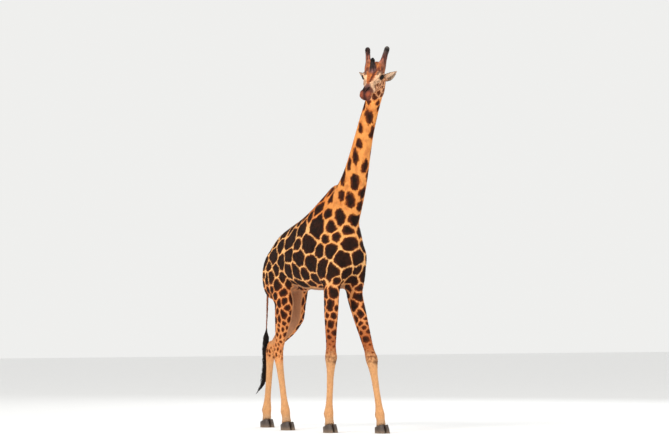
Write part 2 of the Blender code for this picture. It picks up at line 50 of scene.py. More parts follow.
# ---------------------------------------------------------------- camera, floor and light
# The animal stands on a pale studio floor before a pale backdrop of plain light. A long lens looks
# at its right side from ahead and from a standing person's eye height.
camera = bpy.data.objects.new("camera", bpy.data.cameras.new("camera"))
scene.collection.objects.link(camera)
scene.camera = camera
camera.data.lens = 169.5
camera.data.sensor_width = 36.0
camera.data.clip_start = 1.0
camera.data.clip_end = 400.0
camera.location = (-0.1402 + 45 * math.sin(math.radians(57)), 0.0412 - 45 * math.cos(math.radians(57)), 1.75)
camera.rotation_euler = (math.radians(90 + 1.5457), 0, math.radians(57 - 0.3729))


def linear(red, green, blue):
    """A colour of 0 to 255 as the shader's own linear values."""
    shares = [c / 255 for c in (red, green, blue)]
    return tuple(s / 12.92 if s <= 0.04045 else ((s + 0.055) / 1.055) ** 2.4 for s in shares)


def add(tree, kind, settings=None, **inputs):
    """A node with its settings. Inputs are values, or sockets to link; _3 is the input of index 3."""
    made = tree.nodes.new("ShaderNode" + kind)
    for key, value in (settings or {}).items():
        setattr(made, key, value)
    for key, value in inputs.items():
        socket = made.inputs[int(key[1:])] if key[0] == "_" else made.inputs[key.replace("_", " ")]
        if isinstance(value, bpy.types.NodeSocket):
            tree.links.new(value, socket)
        else:
            socket.default_value = value
    return made


def material(name):
    """An empty material, its node tree, its shader and its place on the surface."""
    made = bpy.data.materials.new(name)
    made.use_nodes = True
    tree = made.node_tree
    shader = next(n for n in tree.nodes if n.type == "BSDF_PRINCIPLED")
    place = add(tree, "TexCoord").outputs["Object"]
    return made, tree, shader, place


floor_mesh = bpy.data.meshes.new("floor")
floor_mesh.from_pydata([(-60, -60, 0), (60, -60, 0), (60, 60, 0), (-60, 60, 0)], [], [(0, 1, 2, 3)])
floor = bpy.data.objects.new("floor", floor_mesh)
scene.collection.objects.link(floor)
floor_look, tree, shader, place = material("studio_floor")
speck = add(tree, "TexNoise", Vector=place, Scale=3.0, Detail=6.0)
shade = add(tree, "MapRange", Value=speck.outputs["Fac"], _3=0.84, _4=0.88)
tone = add(tree, "CombineColor", Red=shade.outputs[0], Green=shade.outputs[0], Blue=shade.outputs[0])
tree.links.new(tone.outputs[0], shader.inputs["Base Color"])
shader.inputs["Roughness"].default_value = 0.9
floor_mesh.materials.append(floor_look)

scene.view_settings.view_transform = "Standard"
world = bpy.data.worlds.new("studio")
scene.world = world
world.use_nodes = True
backdrop = next(n for n in world.node_tree.nodes if n.type == "BACKGROUND")
backdrop.inputs["Color"].default_value = (0.90, 0.90, 0.885, 1)
backdrop.inputs["Strength"].default_value = 0.96


def soft_lamp(name, at, aim, size, power, tint):
    """A large square lamp that faces its aim."""
    data = bpy.data.lights.new(name, "AREA")
    data.size = size
    data.energy = power
    data.color = tint
    lamp = bpy.data.objects.new(name, data)
    lamp.location = at
    lamp.rotation_euler = (Vector(aim) - Vector(at)).to_track_quat("-Z", "Y").to_euler()
    scene.collection.objects.link(lamp)


soft_lamp("key_lamp", (4.5, -12.5, 12), (0, 0, 2.6), 5.0, 1540, (1.0, 0.97, 0.91))
soft_lamp("fill_lamp", (13, 2, 7), (0, 0, 2.6), 8.0, 360, (1.0, 0.98, 0.95))
soft_lamp("back_lamp", (-9, 10, 9), (0, 0, 2.8), 8.0, 500, (0.96, 0.98, 1.0))

# ---------------------------------------------------------------- skin
# One hide covers head, neck, trunk, legs and tail without a seam. It is drawn over the flesh of the
# frame's solids and lies inside them by the depth of the short coat.
FLESH = ["head", "neck", "trunk", "tail_dock"]
FLESH += [f"{leg}_{side}_{part}" for leg in ("foreleg", "hindleg") for side in ("left", "right")
          for part in ("upper", "cannon")]
HORN_AXES = {"horn_left": ((0.140, 0.084, 0.051), (-0.128, 0.147, 0.264)),
             "horn_right": ((0.140, -0.084, 0.051), (-0.124, -0.139, 0.260)),
             "horn_middle": ((0.230, 0.0, 0.045), (0.110, 0.0, 0.236))}  # ahead, left and up on the head
SKIN_CELL = 0.013
COAT_DEPTH = 0.0035
# The head's own axes stand where the skull meets the neck: ahead along the nose, left, and up.
PACKED = Vector((-0.1402, 0.0412, 0))  # from the source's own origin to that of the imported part


def packed(line):
    """A line in the source's own coordinates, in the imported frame; what follows x, y, z is kept."""
    return [(x + PACKED.x, y + PACKED.y, z, *rest) for x, y, z, *rest in line]


def packed_folded(line):
    """The same for a line whose second value is the distance from the middle plane."""
    return [(x + PACKED.x, apart, z) for x, apart, z in line]


HEAD_AT = Vector((1.625, 0.005, 5.05)) + PACKED
HEAD_YAW = math.radians(-54)
HEAD_PITCH = math.radians(34)
AHEAD = Vector((math.cos(HEAD_YAW) * math.cos(HEAD_PITCH), math.sin(HEAD_YAW) * math.cos(HEAD_PITCH),
                -math.sin(HEAD_PITCH)))
LEFT = Vector((-math.sin(HEAD_YAW), math.cos(HEAD_YAW), 0))
UP = AHEAD.cross(LEFT)
EYE = (0.238, 0.123, 0.030)  # ahead, to the side, up
EYE_RADIUS = 0.035
EYE_FORWARD = math.radians(30)  # the eye looks this far ahead of straight out, and a little up
EYE_LIFT = math.radians(10)
EYE_TILT = math.radians(-14)
EYE_OUT = np.array([math.sin(EYE_FORWARD) * math.cos(EYE_LIFT), math.cos(EYE_FORWARD) * math.cos(EYE_LIFT),
                    math.sin(EYE_LIFT)])
level = np.array([math.cos(EYE_FORWARD), -math.sin(EYE_FORWARD), 0.0])
across = np.cross(level, EYE_OUT)
EYE_ALONG = level * math.cos(EYE_TILT) + across * math.sin(EYE_TILT)
EYE_ACROSS = across * math.cos(EYE_TILT) - level * math.sin(EYE_TILT)
EYE_HALF = 0.0300  # half the length of the opening between the lids
LID_RISE = 0.0190
LID_DROP = 0.0145


def on_head(ahead, left, up):
    """A point given along the head's own axes."""
    return HEAD_AT + AHEAD * ahead + LEFT * left + UP * up


def head_place(points):
    """Each point's distance ahead, to the left and up from the back of the skull."""
    return (points - np.array(HEAD_AT)) @ np.array([AHEAD, LEFT, UP]).T


def ramp(value, start, end):
    """0 before start, 1 after end, with a smooth rise between them."""
    t = np.clip((value - start) / (end - start), 0, 1)
    return t * t * (3 - 2 * t)


def along(points, line):
    """For each point the nearest place along a line of points, and how far off it is."""
    best = np.full(len(points), 1e9)
    where = np.zeros(len(points))
    for i, (a, b) in enumerate(zip(line, line[1:])):
        a, b = np.array(a, float), np.array(b, float)
        t = np.clip((points - a) @ (b - a) / ((b - a) @ (b - a)), 0, 1)
        off = np.linalg.norm(points - a - t[:, None] * (b - a), axis=1)
        near = off < best
        best[near] = off[near]
        where[near] = i + t[near]
    return where, best


def eye_place(head):
    """Places along the lids, across them and out of the eyeball's middle, for points on the head's axes."""
    folded = np.stack([head[:, 0], np.abs(head[:, 1]), head[:, 2]], 1)
    return ((folded - np.array(EYE)) @ np.array([EYE_ALONG, EYE_ACROSS, EYE_OUT]).T).T


def lid_edge(x, y):
    """How far a point lies outside the opening between the lids; less than 0 within it."""
    arch = np.maximum(1 - (x / EYE_HALF) ** 2, 0)
    over = y - LID_RISE * arch ** 0.8
    under = -LID_DROP * arch - y
    past = np.abs(x) - EYE_HALF
    return np.where(past > 0, np.hypot(past, np.minimum(np.abs(y), 1)), np.maximum(over, under))


def new_object(name, mesh):
    made = bpy.data.objects.new(name, mesh)
    scene.collection.objects.link(made)
    return made


def settled(obj):
    """The object's mesh once its modifiers are applied; the object itself is removed."""
    graph = bpy.context.evaluated_depsgraph_get()
    mesh = bpy.data.meshes.new_from_object(obj.evaluated_get(graph))
    bpy.data.objects.remove(obj)
    return mesh


def places(mesh):
    """The mesh's points as an array."""
    out = np.empty(len(mesh.vertices) * 3, np.float32)
    mesh.vertices.foreach_get("co", out)
    return out.reshape(-1, 3).astype(float)


def put(mesh, points):
    """Moves the mesh's points to an array's."""
    mesh.vertices.foreach_set("co", points.astype(np.float32).ravel())
    mesh.update()


def normals(mesh):
    out = np.empty(len(mesh.vertices) * 3, np.float32)
    mesh.vertex_normals.foreach_get("vector", out)
    return out.reshape(-1, 3).astype(float)


def pairs(mesh):
    """The two ends of each edge."""
    out = np.empty(len(mesh.edges) * 2, np.int32)
    mesh.edges.foreach_get("vertices", out)
    return out.reshape(-1, 2)


def relaxed(points, ends, weight, times):
    """Points drawn towards the middle of their neighbours, each by its own weight."""
    a, b = ends.T
    count = np.bincount(a, minlength=len(points)) + np.bincount(b, minlength=len(points))
    for _ in range(times):
        middle = np.stack([np.bincount(a, points[b, k], len(points)) + np.bincount(b, points[a, k], len(points))
                           for k in range(3)], 1) / np.maximum(count, 1)[:, None]
        points = points + weight[:, None] * (middle - points)
    return points


def remeshed(names, cell, swell):
    """The nodes' solids, swelled a hair so that they meet, as one even mesh of square cells."""
    bm = bmesh.new()
    for name in names:
        bm.from_mesh(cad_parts[name].data)
    bmesh.ops.remove_doubles(bm, verts=bm.verts, dist=1e-6)
    bmesh.ops.recalc_face_normals(bm, faces=bm.faces)
    bm.normal_update()
    for v in bm.verts:
        v.co += v.normal * swell
    mesh = bpy.data.meshes.new("cells")
    bm.to_mesh(mesh)
    bm.free()
    made = new_object("cells", mesh)
    cells = made.modifiers.new("cells", "REMESH")
    cells.mode = "VOXEL"
    cells.voxel_size = cell
    return settled(made)


def refine(mesh, chosen):
    """Halves the cells whose middles are chosen."""
    bm = bmesh.new()
    bm.from_mesh(mesh)
    bm.faces.ensure_lookup_table()
    middles = np.array([f.calc_center_median() for f in bm.faces])
    picked = np.flatnonzero(chosen(middles))
    edges = {e for i in picked for e in bm.faces[i].edges}
    bmesh.ops.subdivide_edges(bm, edges=list(edges), cuts=1, use_grid_fill=True)
    wide = [f for f in bm.faces if len(f.verts) > 4]
    bmesh.ops.triangulate(bm, faces=wide)
    bm.to_mesh(mesh)
    bm.free()


FORELEGS = {
    "right": packed([(0.775, -0.215, 2.00), (0.762, -0.212, 1.06), (0.700, -0.208, 0.27), (0.740, -0.208, 0.0)]),
    "left": packed([(0.735, 0.190, 1.96), (1.105, 0.245, 1.03), (1.255, 0.285, 0.26), (1.300, 0.290, 0.0)]),
}
HINDLEGS = {
    "right": packed([(-0.50, -0.205, 1.82), (-0.645, -0.200, 1.09), (-0.445, -0.200, 0.27), (-0.385, -0.200, 0.0)]),
    "left": packed([(-0.790, 0.172, 1.69), (-1.370, 0.130, 1.13), (-1.480, 0.135, 0.26), (-1.470, 0.135, 0.0)]),
}
NECK_LINE = packed([(0.45, 0.0, 2.75), (0.68, 0.0, 3.05), (0.86, 0.0, 3.30), (1.02, 0.0, 3.58), (1.16, 0.0, 3.90),
                    (1.29, 0.0, 4.22), (1.43, 0.0, 4.52), (1.55, 0.008, 4.78), (1.62, 0.0, 4.96)])
NOSTRIL = [(0.622, 0.014, 0.018), (0.600, 0.022, 0.028), (0.568, 0.034, 0.034), (0.534, 0.040, 0.034)]
MOUTH = [(0.682, 0.0, -0.068), (0.665, 0.040, -0.073), (0.620, 0.072, -0.078), (0.560, 0.080, -0.080),
         (0.490, 0.078, -0.076), (0.440, 0.078, -0.066)]


def is_head(points):
    """1 on the head, 0 below the throat."""
    head = head_place(points)
    return ramp(head[:, 2], -0.335, -0.29) * ramp(head[:, 0], -0.16, -0.08) * ramp(points[:, 2], 4.4, 4.5)


def near_face(points):
    """The muzzle, the mouth and the surroundings of the eyes."""
    head = head_place(points)
    x, y, out = eye_place(head)
    muzzle = (head[:, 0] > 0.42) & (head[:, 2] > -0.2)
    return (points[:, 2] > 4.4) & (((np.hypot(x, y) < 0.068) & (out > -0.02)) | muzzle)


def near_lids(points):
    """The lids and the nostrils' slits."""
    head = head_place(points)
    folded = np.stack([head[:, 0], np.abs(head[:, 1]), head[:, 2]], 1)
    x, y, out = eye_place(head)
    lids = (np.abs(lid_edge(x, y)) < 0.010) & (out > 0.0)
    return (points[:, 2] > 4.4) & (lids | (along(folded, NOSTRIL)[1] < 0.014))


def horn_place(points):
    """For each point the nearest horn's number, the share of its length and the distance off its axis."""
    head = head_place(points)
    near, share, off = np.zeros(len(points), int), np.zeros(len(points)), np.full(len(points), 1e9)
    for i, (base, tip) in enumerate(HORN_AXES.values()):
        base, run = np.array(base), np.array(tip) - np.array(base)
        t = (head - base) @ run / (run @ run)
        away = np.linalg.norm(head - base - np.clip(t, 0, 1)[:, None] * run, axis=1)
        closer = away < off
        near[closer], share[closer], off[closer] = i, t[closer], away[closer]
    return near, share, off


skin_mesh = remeshed(FLESH + list(HORN_AXES), SKIN_CELL, 0.0006)
refine(skin_mesh, lambda p: is_head(p) > 0.5)
refine(skin_mesh, near_face)
refine(skin_mesh, near_lids)
points = places(skin_mesh)
ends = pairs(skin_mesh)


def leg_place(points, legs):
    """Which leg of the pair each point is nearest to, its place down it, and how far off it is."""
    found = [along(points, legs[side]) for side in ("left", "right")]
    nearer = (found[1][1] < found[0][1]).astype(int)
    where = np.where(nearer, found[1][0], found[0][0])
    return nearer, where, np.minimum(found[0][1], found[1][1])


def tail_share(points):
    """1 on the tail's dock, which leaves the rump and hangs behind the legs."""
    line = packed([(-1.10, 0.0, 2.42), (-1.17, 0.004, 2.35), (-1.245, 0.02, 2.18), (-1.315, 0.045, 1.95),
                   (-1.395, 0.085, 1.65), (-1.470, 0.120, 1.40)])
    return (1 - ramp(along(points, line)[1], 0.045, 0.07)) * (1 - ramp(points[:, 0], -1.26, -1.20))


head_share = is_head(points)
tail = tail_share(points)
low = 1 - ramp(points[:, 2], 1.75, 2.15)
soften = 0.5 * np.where(points[:, 2] > 3.2, 0.75, 1.0) * (1 - 0.66 * low)
soften = soften * (1 - 0.55 * head_share) * (1 - 0.85 * tail)
points = relaxed(points, ends, np.clip(soften, 0, 0.5), 60)
put(skin_mesh, points)
points = points - normals(skin_mesh) * (COAT_DEPTH * (1 - 0.55 * head_share))[:, None]
put(skin_mesh, points)


def groove(off, depth, width):
    """A furrow of a depth and width whose line is a distance off."""
    return -depth * np.exp(-(off / width) ** 2)


def dip(points, at, radius, depth):
    """A soft hollow, or a swelling where the depth is below 0."""
    return -depth * np.exp(-np.sum((points - np.array(at)) ** 2, 1) / radius ** 2)


def carve_body(points):
    """Hollows, tendons and folds of trunk, neck and legs, as a distance along the skin's normals."""
    out = np.zeros(len(points))
    folded = points.copy()
    folded[:, 1] = np.abs(points[:, 1] - 0.041)
    # the hollow before the hip, the edge of the shoulder blade and the furrow behind the elbow
    out += dip(folded, packed_folded([(-0.21, 0.32, 2.72)])[0], 0.13, 0.020)
    out += dip(folded, packed_folded([(-0.47, 0.30, 2.55)])[0], 0.10, -0.008)
    for line, deep, wide in (
        ([(0.45, 0.33, 3.05), (0.51, 0.38, 2.75), (0.53, 0.36, 2.35)], 0.012, 0.035),
        ([(0.75, 0.25, 2.95), (0.87, 0.26, 2.62), (0.81, 0.26, 2.30)], 0.008, 0.03),
        ([(-0.23, 0.30, 2.40), (-0.27, 0.29, 2.15), (-0.35, 0.27, 2.00)], 0.014, 0.04),
        # the furrows down each side of the neck, before and behind the windpipe
        ([(0.95, 0.16, 3.25), (1.13, 0.15, 3.55), (1.39, 0.12, 4.15), (1.61, 0.10, 4.66)], 0.009, 0.030),
        ([(0.77, 0.19, 3.42), (0.99, 0.15, 3.78), (1.25, 0.11, 4.38), (1.47, 0.09, 4.78)], 0.005, 0.025),
    ):
        out += groove(along(folded, packed_folded(line))[1], deep, wide)
    # ribs
    rib = ramp(points[:, 0], -0.30, -0.05) * (1 - ramp(points[:, 0], 0.25, 0.40))
    rib *= ramp(points[:, 2], 2.15, 2.35) * (1 - ramp(points[:, 2], 2.75, 2.95))
    out += 0.0022 * rib * np.sin((points[:, 0] + 0.18 * points[:, 2]) * 2 * math.pi / 0.085)
    for legs, hind in ((FORELEGS, False), (HINDLEGS, True)):
        for side in ("left", "right"):
            joints = [Vector(j) for j in legs[side]]
            where, off = along(points, joints)
            for upper in ((0, 1, 0.55, 0.92), (1, 2, 1.12, 1.86)):
                a, b, start, end = upper
                run = (joints[b] - joints[a]).normalized()
                front = np.array((Vector((1, 0, 0)) - run * run.x).normalized())
                ahead = (points - np.array(joints[a])) @ front
                window = ramp(where, start, start + 0.12) * (1 - ramp(where, end - 0.1, end)) * (off < 0.2)
                if a == 1:
                    out += window * groove(ahead + 0.016, 0.0055, 0.009)
                elif hind:
                    out += window * groove(ahead + 0.060, 0.012, 0.020)
                else:
                    out += window * groove(ahead + 0.010, 0.004, 0.018)
    return out


def carve_head(head):
    """Bones, hollows, nostrils and lips of the head, as a distance along the skin's normals."""
    side = np.abs(head[:, 1])
    folded = np.stack([head[:, 0], side, head[:, 2]], 1)
    out = np.zeros(len(head))
    crest = along(folded, [(0.27, 0.130, -0.032), (0.36, 0.105, -0.040), (0.45, 0.082, -0.045)])[1]
    out += groove(crest, -0.006, 0.014)
    out += groove(along(folded, [(0.30, 0.11, -0.085), (0.42, 0.08, -0.080)])[1], 0.007, 0.026)
    out += groove(along(folded, [(0.33, 0.07, 0.065), (0.47, 0.055, 0.025)])[1], 0.006, 0.020)
    out += groove(along(folded, [(0.27, 0.055, 0.100), (0.40, 0.035, 0.066), (0.54, 0.030, 0.046)])[1], -0.003, 0.014)
    out += dip(folded, (0.135, 0.125, 0.010), 0.030, 0.006)
    out += groove(along(folded, [(0.19, 0.115, -0.060), (0.13, 0.12, -0.10), (0.06, 0.115, -0.15)])[1], 0.004, 0.018)
    out += groove(along(folded, [(0.24, 0.085, -0.185), (0.36, 0.065, -0.155), (0.46, 0.05, -0.128)])[1], -0.003, 0.012)
    slit = along(folded, NOSTRIL)[1]
    out += groove(slit, 0.015, 0.0045) + groove(slit - 0.012, -0.0035, 0.006)
    mouth = along(folded, MOUTH)[1]
    out += groove(mouth, 0.0065, 0.0042) + groove(mouth - 0.014, -0.0025, 0.008)
    out += groove(along(folded, [(0.70, 0, -0.060), (0.685, 0, -0.020), (0.66, 0, 0.004)])[1], 0.004, 0.006)
    return out


def lidded(points):
    """Draws the skin over the eyeballs as lids, with the opening between them left free."""
    head = head_place(points)
    x, y, out = eye_place(head)
    off = np.hypot(x, y)
    near = (off < 0.066) & (out > -0.02) & (points[:, 2] > 4.4)
    gap = lid_edge(x, y)
    # the mesh's nearest points are brought onto the lids' edge, so that it is clean
    snap = near & (np.abs(gap) < 0.0022) & (np.abs(x) < EYE_HALF)
    arch = np.maximum(1 - (x / EYE_HALF) ** 2, 0)
    y = np.where(snap, np.where(y > 0, LID_RISE * arch ** 0.8, -LID_DROP * arch), y)
    gap = np.where(snap, 0.0, gap)
    shell = np.sqrt(np.maximum((EYE_RADIUS + 0.0036) ** 2 - np.minimum(off, 0.034) ** 2, 0))
    shell = np.where(off < 0.034, shell, 0.0183 - (off - 0.034) * 1.1)
    blend = ramp(off, 0.032, 0.066)
    fold = groove(gap - 0.0105, 0.0024, 0.0028) + groove(gap - 0.0185, 0.0014, 0.004)
    roll = groove(gap - 0.0028, -0.0022, 0.0036)
    cover = shell * (1 - blend) + out * blend + np.where(gap > 0, fold + roll, 0) * (1 - ramp(off, 0.038, 0.058))
    ball = np.sqrt(np.maximum(EYE_RADIUS ** 2 - off ** 2, 1e-6))
    target = np.where(gap < -0.0008, np.minimum(cover, ball - 0.011), cover)
    moved = np.array(EYE) + np.stack([x, y, target], 1) @ np.array([EYE_ALONG, EYE_ACROSS, EYE_OUT])
    moved[:, 1] *= np.sign(head[:, 1])
    head = np.where(near[:, None], moved, head)
    return np.array(HEAD_AT) + head @ np.array([AHEAD, LEFT, UP])


head = head_place(points)
on_skull = (points[:, 2] > 4.4) * ramp(head[:, 2], -0.30, -0.24)
carving = carve_body(points) * (1 - head_share) + carve_head(head) * on_skull
points = points + normals(skin_mesh) * carving[:, None]
points = lidded(points)
put(skin_mesh, points)
# what lies hidden inside the horns is taken away
which_horn, up_horn, off_horn = horn_place(points)
hidden = (up_horn > 0.42) & (off_horn < np.where(which_horn == 2, 0.034, 0.036))
bm = bmesh.new()
bm.from_mesh(skin_mesh)
bm.verts.ensure_lookup_table()
bmesh.ops.delete(bm, geom=[bm.verts[i] for i in np.flatnonzero(hidden)], context="VERTS")
bm.to_mesh(skin_mesh)
bm.free()
points = places(skin_mesh)
skin_mesh.shade_smooth()
skin = new_object("skin", skin_mesh)
facing = normals(skin_mesh)

# ---------------------------------------------------------------- markings
# Dark patches with russet rims lie in a network of orange hair. They are large on the trunk, wide
# apart on the neck, small down the thighs, and they end in pale stockings below knees and hocks.
CELL_SEED = 5


def wander(points, size, seed):
    """A smooth random vector for each point, of about 1 in length, that changes over the size."""
    turn = Vector((seed * 3.7, seed * 1.3, -seed * 2.1))
    return np.array([noise.noise_vector(Vector(p) / size + turn) for p in points])


head = head_place(points)
head_share = is_head(points)


def leg_terms(points):
    """Share of each pair of legs at each point, and the place down the nearer leg."""
    fore_at = leg_place(points, FORELEGS)[1]
    hind_at = leg_place(points, HINDLEGS)[1]
    under = 1 - ramp(points[:, 2], 1.95, 2.25)
    fore = under * ramp(points[:, 0], -0.05, 0.15)
    hind = under * (1 - ramp(points[:, 0], -0.25, -0.05))
    return fore, fore_at, hind, hind_at


def spacing(points):
    """How far apart the patches' middles lie at each point."""
    z = points[:, 2]
    fore, fore_at, hind, hind_at = leg_terms(points)
    barrel = ramp(points[:, 0], -0.60, -0.25) * (1 - ramp(points[:, 0], 0.40, 0.70))
    apart = 0.215 + 0.055 * barrel * (1 - ramp(z, 2.8, 3.1))
    apart = apart - 0.045 * ramp(z, 2.85, 3.1) - 0.022 * ramp(z, 3.35, 3.6) - 0.034 * ramp(z, 4.25, 4.5)
    apart = apart - 0.035 * (1 - ramp(points[:, 0], -1.0, -0.55))
    apart = apart - 0.03 * (1 - ramp(z, 2.1, 2.4))
    fore_apart = 0.145 - 0.050 * ramp(fore_at, 0.1, 0.45) - 0.030 * ramp(fore_at, 0.5, 0.95)
    hind_apart = 0.112 - 0.040 * ramp(hind_at, 0.0, 0.4) - 0.022 * ramp(hind_at, 0.45, 0.95)
    apart = apart * (1 - fore) + fore_apart * fore
    apart = apart * (1 - hind) + hind_apart * hind
    head = head_place(points)
    face = is_head(points)
    return apart * (1 - face) + face * (0.047 + 0.016 * ramp(-head[:, 2], 0.08, 0.24))


def stretch(points):
    """How much taller than wide the patches are: most up the neck, less up the thighs."""
    z = points[:, 2]
    tall = 1 + 0.35 * ramp(z, 2.75, 3.0) + 0.55 * ramp(z, 3.2, 3.5) - 0.6 * ramp(z, 4.35, 4.5)
    fore, fore_at, hind, hind_at = leg_terms(points)
    return tall + 0.30 * hind - 0.15 * fore * ramp(fore_at, 0.4, 0.7)


# The patches' middles are strewn over the skin, each with room for its own half sizes, so that
# they follow the sizes above and no two are alike. Those of the neck are islands in its ground.
SIZE_SPREAD, TALL_SPREAD = 0.24, 0.18
rng = np.random.default_rng(CELL_SEED)
order = rng.permutation(len(points))[:26000]
wide = spacing(points)
tall = stretch(points)
half_sizes = 0.43 * wide[order] * (1 + rng.uniform(-SIZE_SPREAD, SIZE_SPREAD, len(order)))
tallness = tall[order] * (1 + rng.uniform(-TALL_SPREAD, TALL_SPREAD, len(order)))
patches = np.zeros((6000, 5))
count = 0
for i, half_wide, share_tall in zip(order, half_sizes, tallness):
    gap = points[i] - patches[:count, :3]
    room = patches[:count, 3:] + np.array([half_wide, half_wide * share_tall])
    off = (gap[:, 0] ** 2 + gap[:, 1] ** 2) / room[:, 0] ** 2 + (gap[:, 2] / room[:, 1]) ** 2
    if np.min(off, initial=9.0) > 1:
        patches[count] = (*points[i], half_wide, half_wide * share_tall)
        count += 1
patches = patches[:count]
tree_of_patches = KDTree(len(patches))
for i, patch in enumerate(patches):
    tree_of_patches.insert(patch[:3], i)
tree_of_patches.balance()

# Each point's distance inside its own patch: to the nearest line between two patches, and on the
# neck and the shoulder to the patch's own oval edge as well.
share = np.minimum(wide / 0.16, 1)[:, None]
ragged = 1 + 0.6 * ramp(points[:, 2], 3.0, 3.3)[:, None]
bent = wander(points, 0.20, 1) * 0.022 + (wander(points, 0.060, 2) * 0.020 + wander(points, 0.028, 3) * 0.008) * ragged
bent = points + bent * share
AROUND = 10
beside = np.array([[found[1] for found in tree_of_patches.find_n(p, AROUND)] for p in bent])
gap = bent[:, None] - patches[beside][:, :, :3]
flat = np.hypot(gap[:, :, 0], gap[:, :, 1])
half_across, half_up = patches[beside][:, :, 3], patches[beside][:, :, 4]
off = np.hypot(flat / half_across, gap[:, :, 2] / half_up)
slope = np.hypot(flat / half_across ** 2, gap[:, :, 2] / half_up ** 2) / np.maximum(off, 1e-6)
ranked = np.argsort(off, axis=1)
beside, off, slope = (np.take_along_axis(values, ranked, 1) for values in (beside, off, slope))
neck_foot = 3.47 - 0.45 * ramp(patches[:, 0], 0.40, 0.70)
island = (patches[:, 2] > neck_foot) & (is_head(patches[:, :3]) < 0.5)
looseness = np.where(island, 0.95, 1.60 - 0.22 * ramp(patches[:, 0], 0.15, 0.5) * ramp(patches[:, 2], 2.55, 2.75))
own = (looseness[beside] - off) / np.maximum(slope, 1e-6)
walls = (off[:, 1:] - off[:, :1]) / (slope[:, 1:] + slope[:, :1])
paired = island[beside[:, :1]] & island[beside[:, 1:]]
edge = -np.log(np.sum(np.exp(-150.0 * np.where(paired, 1.0, walls)), 1)) / 150.0
oval = np.where(island[beside[:, 0]], np.max(np.where(island[beside], own, -1.0), 1), own[:, 0])

fore, fore_at, hind, hind_at = leg_terms(points)
z = points[:, 2]
shoulder = ramp(points[:, 0], 0.25, 0.6) * ramp(z, 2.45, 2.7)
half = 0.0095 + 0.004 * ramp(z, 2.6, 2.9) + 0.004 * shoulder
fore_half = 0.0090 + 0.004 * ramp(fore_at, 0.3, 0.8) + 0.030 * ramp(fore_at, 0.92, 1.04)
hind_half = 0.0080 + 0.001 * ramp(hind_at, 0.3, 0.7) + 0.030 * ramp(hind_at, 1.06, 1.22)
half = half * (1 - fore) + fore_half * fore
half = half * (1 - hind) + hind_half * hind
# the belly and the inner sides of the thighs are plain, and painted darker as shade
right_leg = points[:, 1] < 0.02
inward = np.where(right_leg, facing[:, 1], -facing[:, 1])
belly = ramp(-facing[:, 2], 0.86, 0.97) * ramp(z, 1.7, 1.95) * (1 - ramp(z, 2.2, 2.4)) * (z < 2.6)
thigh = ramp(inward, 0.15, 0.6) * ramp(z, 1.15, 1.4) * (1 - ramp(z, 2.2, 2.4)) * (points[:, 0] < -0.2)
plain = np.clip(belly + thigh, 0, 1)
half += 0.12 * plain
# cheeks carry small spots that grow towards the jaw; the rest of the face has none
side = np.abs(head[:, 1])
cheek = ramp(head[:, 0], -0.02, 0.05) * (1 - ramp(head[:, 0] + 0.35 * head[:, 2], 0.41, 0.46))
cheek *= np.maximum(ramp(side, 0.035, 0.055), ramp(-head[:, 2], 0.14, 0.17))
cheek *= 1 - ramp(head[:, 2] - 0.10 * head[:, 0], -0.045, -0.015)
face_half = 0.0036 + 0.0012 * ramp(head[:, 2], -0.12, -0.05) + 0.06 * (1 - cheek)
half = half * (1 - head_share) + face_half * head_share
oval = oval - 0.12 * plain
inner = np.minimum(edge - half, np.where(head_share > 0.5, 1.0, oval))
# edges are softer and browner on the neck, the shoulder and the legs
on_legs = np.clip(fore + hind, 0, 1)
soft = np.maximum.reduce([ramp(z, 2.95, 3.25) * 0.58, shoulder * 0.30, on_legs * 0.25, head_share * 0.2])
inner *= 1 - soft


def tone_of(*layers):
    """A colour for each point from layers of a share and a colour, each laid over those before."""
    colour = np.tile(np.array(linear(*layers[0][1])), (len(points), 1))
    for share, shade in layers[1:]:
        share = np.clip(share, 0, 1)[:, None]
        colour = colour * (1 - share) + share * np.array(linear(*shade))
    return colour


knee = np.maximum(np.exp(-((fore_at - 1.0) / 0.10) ** 2) * fore, 0)
uneven = wander(points, 0.05, 8)[:, 0] * 0.07
stocking = fore * ramp(fore_at + uneven, 0.82, 1.04) + hind * ramp(hind_at + uneven, 1.02, 1.28)
eye_x, eye_y, eye_out = eye_place(head)
lids = lid_edge(eye_x, eye_y)
eye_off = np.hypot(eye_x, eye_y)
outer = (eye_out > -0.01) & (z > 4.4)
slit = along(np.stack([head[:, 0], side, head[:, 2]], 1), NOSTRIL)[1]
mouth = along(np.stack([head[:, 0], side, head[:, 2]], 1), MOUTH)[1]
muzzle = ramp(head[:, 0], 0.47, 0.53)
folded = np.stack([head[:, 0], side, head[:, 2]], 1) + wander(points, 0.035, 9) * 0.007
turned = folded.copy()
turned[:, 1] = head[:, 1]


def blot(at, size, blur=0.35):
    """Share of an oval spot on both sides of the head, soft at its edge."""
    off = np.sqrt(np.sum(((folded - np.array(at)) / np.array(size)) ** 2, 1))
    return head_share * (1 - ramp(off, 1 - blur, 1 + blur))


def stripe(line, half, blur=0.4, on=folded):
    """Share of a line over the head, soft at its edges."""
    return head_share * (1 - ramp(along(on, line)[1], half * (1 - blur), half * (1 + blur)))


